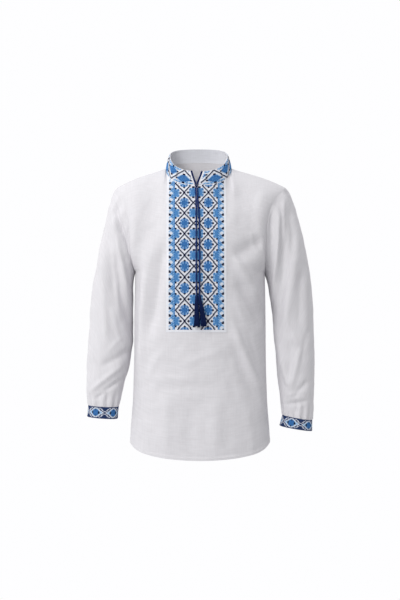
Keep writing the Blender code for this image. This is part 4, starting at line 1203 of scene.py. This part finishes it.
def make_tassel(finish, side, word):
    """A wound head and the loose strands below it."""
    tassel = TASSELS[side]
    top = tie_point(side, TIES[-1].z)
    chance = random.Random(TASSEL_SEED + side)
    shares = np.arange(HEAD_STEPS + 1) / HEAD_STEPS
    path = [top - Vector((0, 0, HEAD_LENGTH * share)) for share in shares]
    profile = CORD / 2 + (HEAD_RADIUS - CORD / 2) * soft(shares * HEAD_SWELL)
    profile *= 1 + HEAD_WINDING * np.cos(2 * np.pi * shares * HEAD_TURNS)
    profile[[0, -1]] *= HEAD_END
    parts = [tube(path, np.repeat(profile[:, None], HEAD_SIDES, axis=1))]
    widths = STRAND / 2 * np.linspace(*STRAND_WIDTHS, STRAND_STEPS + 1)
    root = top - Vector((0, 0, HEAD_LENGTH - STRAND_ROOT))
    for k in range(STRANDS):
        reach = math.sqrt((k + 0.5) / STRANDS)
        turn = k * GOLDEN_TURN
        end_z = TASSEL_END_Z + chance.uniform(*STRAND_ENDS)
        end = Vector((tassel.end_x, top.y - TASSEL_FORWARD, end_z))
        out = Vector((math.cos(turn), math.sin(turn), 0)) * reach
        wide = Vector((out.x * tassel.half_width, out.y * TASSEL_DEPTH, 0))
        narrow = out * (HEAD_RADIUS - STRAND / 2)
        sway = Vector((chance.uniform(-1, 1), chance.uniform(-1, 1), 0)) * STRAND_SWAY
        line = []
        for i in range(STRAND_STEPS + 1):
            t = i / STRAND_STEPS
            centre = root.lerp(end, t)
            centre.x = mix(root.x, end.x, smooth(mix(STRAND_SWING, 1, t)) if t else 0)
            centre += narrow.lerp(wide, t**TASSEL_SPREAD) + sway * math.sin(STRAND_BENDS * t + k) * t
            line.append(centre)
        parts.append(tube(line, np.repeat(widths[:, None], STRAND_SIDES, axis=1)))
    made = together(f"tassel_strands_{word}", parts, finish.tassel)
    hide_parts(f"tassel_{word}")
    return made


def make_tie(finish, side, word):
    """A twisted cord from the knot into its tassel's head."""
    heights = np.arange(TIES[0].z, TIES[-1].z, -TIE_STEP)
    path = [tie_point(side, z) for z in heights]
    end = tie_point(side, TIES[-1].z)
    path += [end - Vector((0, 0, TIE_STEP * k)) for k in range(int(TIE_INTO_HEAD / TIE_STEP) + 1)]
    made = together(f"tie_cord_{word}", [twisted(path, CORD / 2, CORD_PITCH, TIE_SIDES)], finish.cord)
    length = sum((b - a).length for a, b in zip(path, path[1:]))
    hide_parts(f"tie_{word}")
    tuple(path[0])
    [tuple(point) for point in path]
    return made


def make_edging(finish, side, word):
    """A thin twisted cord along the collar's end, which comes forward to the knot."""
    inset = EDGING / 2 + SEAM
    path = []
    for k in range(EDGING_STEPS + 1):
        share = 1 - k / EDGING_STEPS
        point = collar_point(-1, side, collar_end(side, share), share)
        point.x = SLIT_X + side * max(abs(point.x - SLIT_X) - inset, (EDGING + SEAM) / 2)
        point.y += EDGING_BACK - EDGING_FORWARD * smooth(1 - share / EDGING_TURN)
        path.append(point)
    cord = twisted(path, EDGING / 2, EDGING_PITCH, EDGING_SIDES)
    made = together(f"edging_cord_{word}", [cord], finish.tassel)
    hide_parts(f"edging_{word}")
    return made


def make_knot(finish):
    """The knot at the point of the V, a cord that winds through itself."""
    panel_y = front_y(SLIT_X + slit_half(KNOT_Z), KNOT_Z) - PANEL_TOP
    middle = Vector((SLIT_X, panel_y - SEAM - KNOT_SIZE[1] / 2, KNOT_Z))
    reach = [size / 2 - KNOT_CORD for size in KNOT_SIZE]
    path = []
    for k in range(KNOT_STEPS + 1):
        t = 2 * math.pi * k / KNOT_STEPS
        x = (math.sin(t) + 2 * math.sin(2 * t)) / 3
        z = (math.cos(t) - 2 * math.cos(2 * t)) / 3
        path.append(middle + Vector((x * reach[0], -math.sin(3 * t) * reach[1], z * reach[2])))
    made = together("knot_loops", [twisted(path, KNOT_CORD, KNOT_PITCH, KNOT_SIDES)], finish.tassel)
    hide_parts("tie_knot")
    return made


def seam_stitches(name, lines, finish):
    """Rows of small machine stitches that lie on the cloth, along lines of places and outward directions."""
    starts, ends, outs = [], [], []
    for line, normals in lines:
        gone = gone_along(line)
        at = np.arange(SEWN_ENDS[0], gone[-1] - SEWN_ENDS[1], SEWN_PITCH)
        for target, distance in ((starts, at), (ends, at + SEWN_LENGTH)):
            target.append(np.stack([np.interp(distance, gone, line[:, k]) for k in range(3)], axis=1))
        outs.append(np.stack([np.interp(at, gone, normals[:, k]) for k in range(3)], axis=1))
    starts, ends, outs = np.concatenate(starts), np.concatenate(ends), unit(np.concatenate(outs))
    vertices, faces = add_bars(starts, ends, outs, SEWN_WIDTH, SEWN_HEIGHT)
    made = add_mesh(name, vertices, faces, finish)
    return made


class Nodes:
    """A node tree that grows node by node."""

    def __init__(self, tree):
        self.tree = tree

    def add(self, kind, settings=None, **inputs):
        made = self.tree.nodes.new(kind)
        for key, value in (settings or {}).items():
            setattr(made, key, value)
        for key, value in inputs.items():
            self.feed(made.inputs[key.replace("_", " ")], value)
        return made

    def feed(self, socket, value):
        if isinstance(value, bpy.types.NodeSocket):
            self.tree.links.new(value, socket)
        else:
            socket.default_value = value

    def maths(self, operation, a, b=0.0):
        made = self.tree.nodes.new("ShaderNodeMath")
        made.operation = operation
        self.feed(made.inputs[0], a)
        self.feed(made.inputs[1], b)
        return made.outputs[0]

    def noise_at(self, place, stretch, detail):
        """Noise in patches, stretched along the cloth's directions."""
        moved = self.add("ShaderNodeMapping", Vector=place, Scale=stretch)
        return self.add("ShaderNodeTexNoise", Vector=moved.outputs[0], Scale=1.0, Detail=detail).outputs[0]


def weave_group():
    """Height and tint of plain-woven linen, with thicker yarns here and there both ways."""
    tree = bpy.data.node_groups.new("linen weave", "ShaderNodeTree")
    tree.interface.new_socket("Height", in_out="OUTPUT", socket_type="NodeSocketFloat")
    tree.interface.new_socket("Tint", in_out="OUTPUT", socket_type="NodeSocketFloat")
    n = Nodes(tree)
    place = n.add("ShaderNodeUVMap", {"uv_map": "cloth"}).outputs[0]
    wander = n.add("ShaderNodeTexNoise", Vector=place, Scale=WANDER_SCALE).outputs["Color"]
    bent = n.add("ShaderNodeVectorMath", {"operation": "MULTIPLY_ADD"})
    n.feed(bent.inputs[0], wander)
    n.feed(bent.inputs[1], WANDER)
    n.feed(bent.inputs[2], place)
    yarn = WAVE_BAND / YARN_PITCH
    yarns = []
    for direction in "XY":
        wave = n.add("ShaderNodeTexWave", {"bands_direction": direction}, Vector=bent.outputs[0], Scale=yarn)
        yarns.append(wave.outputs["Fac"])
    slub = 0.0
    for kind in SLUBS:
        found = n.noise_at(place, kind.stretch, kind.detail)
        slub = n.maths("ADD", slub, n.maths("MULTIPLY", found, kind.weight))
    woven = n.maths("MULTIPLY", n.maths("ADD", *yarns), YARN_HEIGHT)
    height = n.maths("ADD", woven, slub)
    tint = n.maths("ADD", n.maths("MULTIPLY", slub, TINT_RANGE), 1 - TINT_MIDDLE * TINT_RANGE)
    out = n.add("NodeGroupOutput")
    n.feed(out.inputs["Height"], height)
    n.feed(out.inputs["Tint"], tint)
    return tree


def new_material(name, colour, roughness):
    made = bpy.data.materials.new(name)
    made.use_nodes = True
    shader = made.node_tree.nodes["Principled BSDF"]
    shader.inputs["Base Color"].default_value = (*colour, 1)
    shader.inputs["Roughness"].default_value = roughness
    return made, shader, Nodes(made.node_tree)


def linen_material(name, weave, colour, bump):
    """Woven linen, whose slubs show as a relief and as lighter and darker places."""
    made, shader, n = new_material(name, colour, LINEN_ROUGHNESS)
    shader.inputs["Sheen Weight"].default_value = SHEEN_WEIGHT
    shader.inputs["Sheen Roughness"].default_value = SHEEN_ROUGHNESS
    group = n.add("ShaderNodeGroup", {"node_tree": weave})
    tinted = n.add("ShaderNodeVectorMath", {"operation": "SCALE"})
    n.feed(tinted.inputs[0], colour)
    n.feed(tinted.inputs["Scale"], group.outputs["Tint"])
    n.feed(shader.inputs["Base Color"], tinted.outputs[0])
    raised = n.add("ShaderNodeBump", Height=group.outputs["Height"], Strength=bump, Distance=WEAVE_HEIGHT)
    n.feed(shader.inputs["Normal"], raised.outputs[0])
    return made


def thread_material(name, colour, roughness, attribute=None):
    """Twisted thread, whose fibres show as a fine uneven relief."""
    made, shader, n = new_material(name, colour, roughness)
    shader.inputs["Specular IOR Level"].default_value = THREAD_GLOSS
    if attribute:
        found = n.add("ShaderNodeAttribute", {"attribute_name": attribute})
        n.feed(shader.inputs["Base Color"], found.outputs["Color"])
    place = n.add("ShaderNodeTexCoord").outputs["Object"]
    fibres = n.noise_at(place, FIBRE_STRETCH, 1.0)
    raised = n.add("ShaderNodeBump", Height=fibres, Strength=FIBRE_BUMP, Distance=FIBRE_HEIGHT)
    n.feed(shader.inputs["Normal"], raised.outputs[0])
    return made


Finish = namedtuple("Finish", "linen band thread cord tassel sewing")


def make_finishes():
    weave = weave_group()
    return Finish(
        linen=linen_material("white linen", weave, LINEN_COLOUR, LINEN_BUMP),
        band=linen_material("band linen", weave, BAND_COLOUR, BAND_BUMP),
        thread=thread_material("embroidery thread", EMBROIDERY_COLOUR, EMBROIDERY_ROUGHNESS, "thread"),
        cord=thread_material("navy cord", CORD_COLOUR, CORD_ROUGHNESS),
        tassel=thread_material("tassel thread", TASSEL_COLOUR, CORD_ROUGHNESS),
        sewing=thread_material("sewing thread", SEWING_COLOUR, CORD_ROUGHNESS),
    )


def make_light():
    """An even bright room, brighter above and to the left of the camera, and one soft lamp."""
    world = bpy.data.worlds.new("room")
    bpy.context.scene.world = world
    world.use_nodes = True
    n = Nodes(world.node_tree)
    direction = n.add("ShaderNodeTexCoord").outputs["Generated"]
    facing = n.add("ShaderNodeVectorMath", {"operation": "DOT_PRODUCT"})
    n.feed(facing.inputs[0], direction)
    n.feed(facing.inputs[1], ROOM_DIRECTION)
    shade = n.add("ShaderNodeMapRange", {"interpolation_type": "SMOOTHSTEP"}, Value=facing.outputs["Value"])
    shade.inputs["From Min"].default_value, shade.inputs["From Max"].default_value = ROOM_REACH
    shade.inputs["To Min"].default_value = ROOM_DARK
    shade.inputs["To Max"].default_value = ROOM_BRIGHT
    background = world.node_tree.nodes["Background"]
    background.inputs["Color"].default_value = ROOM_COLOUR
    n.feed(background.inputs["Strength"], shade.outputs[0])
    lamp = bpy.data.lights.new("window", "AREA")
    lamp.shape = "RECTANGLE"
    lamp.size, lamp.size_y = LAMP_SIZE
    lamp.energy = LAMP_POWER
    lamp.color = LAMP_COLOUR
    window = bpy.data.objects.new("window", lamp)
    window.location = LAMP_PLACE
    aim = Vector(LAMP_AIM) - Vector(LAMP_PLACE)
    window.rotation_euler = aim.to_track_quat("-Z", "Y").to_euler()
    bpy.context.scene.collection.objects.link(window)


def make_floor():
    """A plain pale round floor, below the picture's lower edge."""
    bpy.ops.object.select_all(action="DESELECT")
    bpy.ops.mesh.primitive_circle_add(vertices=FLOOR_SIDES, radius=FLOOR_SIZE / 2, fill_type="NGON")
    floor = bpy.context.active_object
    floor.name = "floor"
    floor.data.transform(Matrix.Translation((0, 0, FLOOR_Z)))
    floor.data.materials.append(new_material("pale floor", FLOOR_COLOUR, FLOOR_ROUGHNESS)[0])


def make_camera():
    scene = bpy.context.scene
    camera = bpy.data.cameras.new("camera")
    camera.lens = LENS
    camera.sensor_width = SENSOR
    camera.clip_end = FAR
    made = bpy.data.objects.new("camera", camera)
    made.location = CAMERA_PLACE
    made.rotation_euler = (math.pi / 2, 0, 0)
    scene.collection.objects.link(made)
    scene.camera = made
    scene.render.resolution_x, scene.render.resolution_y = PICTURE
    scene.view_settings.view_transform = "Standard"


def sewn_lines(front_points, back_points):
    """Lines of machine stitches along the front's and the back's hem."""
    lines = []
    row = HEM_SHARES.index(HEM_SEWN)
    for points in (front_points, back_points):
        normals = grid_normals(points)
        lines.append((points[row] + normals[row] * SEWN_LIFT, normals[row]))
    return lines


def main():
    make_camera()
    make_light()
    make_floor()
    finish = make_finishes()
    front, panel, halves, front_points = make_front(finish)
    embroideries = list(make_panel_stitches(halves, finish))
    back, back_points = make_back(finish)
    made = [front, panel, back, make_collar(finish)]
    embroideries.append(make_collar_stitches(finish))
    made.append(make_knot(finish))
    made.append(seam_stitches("hem_stitches", sewn_lines(front_points, back_points), finish.sewing))
    for side, word in SIDES:
        made.append(make_sleeve(finish, side, word))
        cuff, cuff_stitches = make_cuff(finish, side, word)
        made.append(cuff)
        embroideries.append(cuff_stitches)
        tassel = make_tassel(finish, side, word)
        made += [tassel, make_tie(finish, side, word), make_edging(finish, side, word)]
    for piece in made + embroideries:
        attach(piece, "root")


main()
bpy.context.view_layer.update()
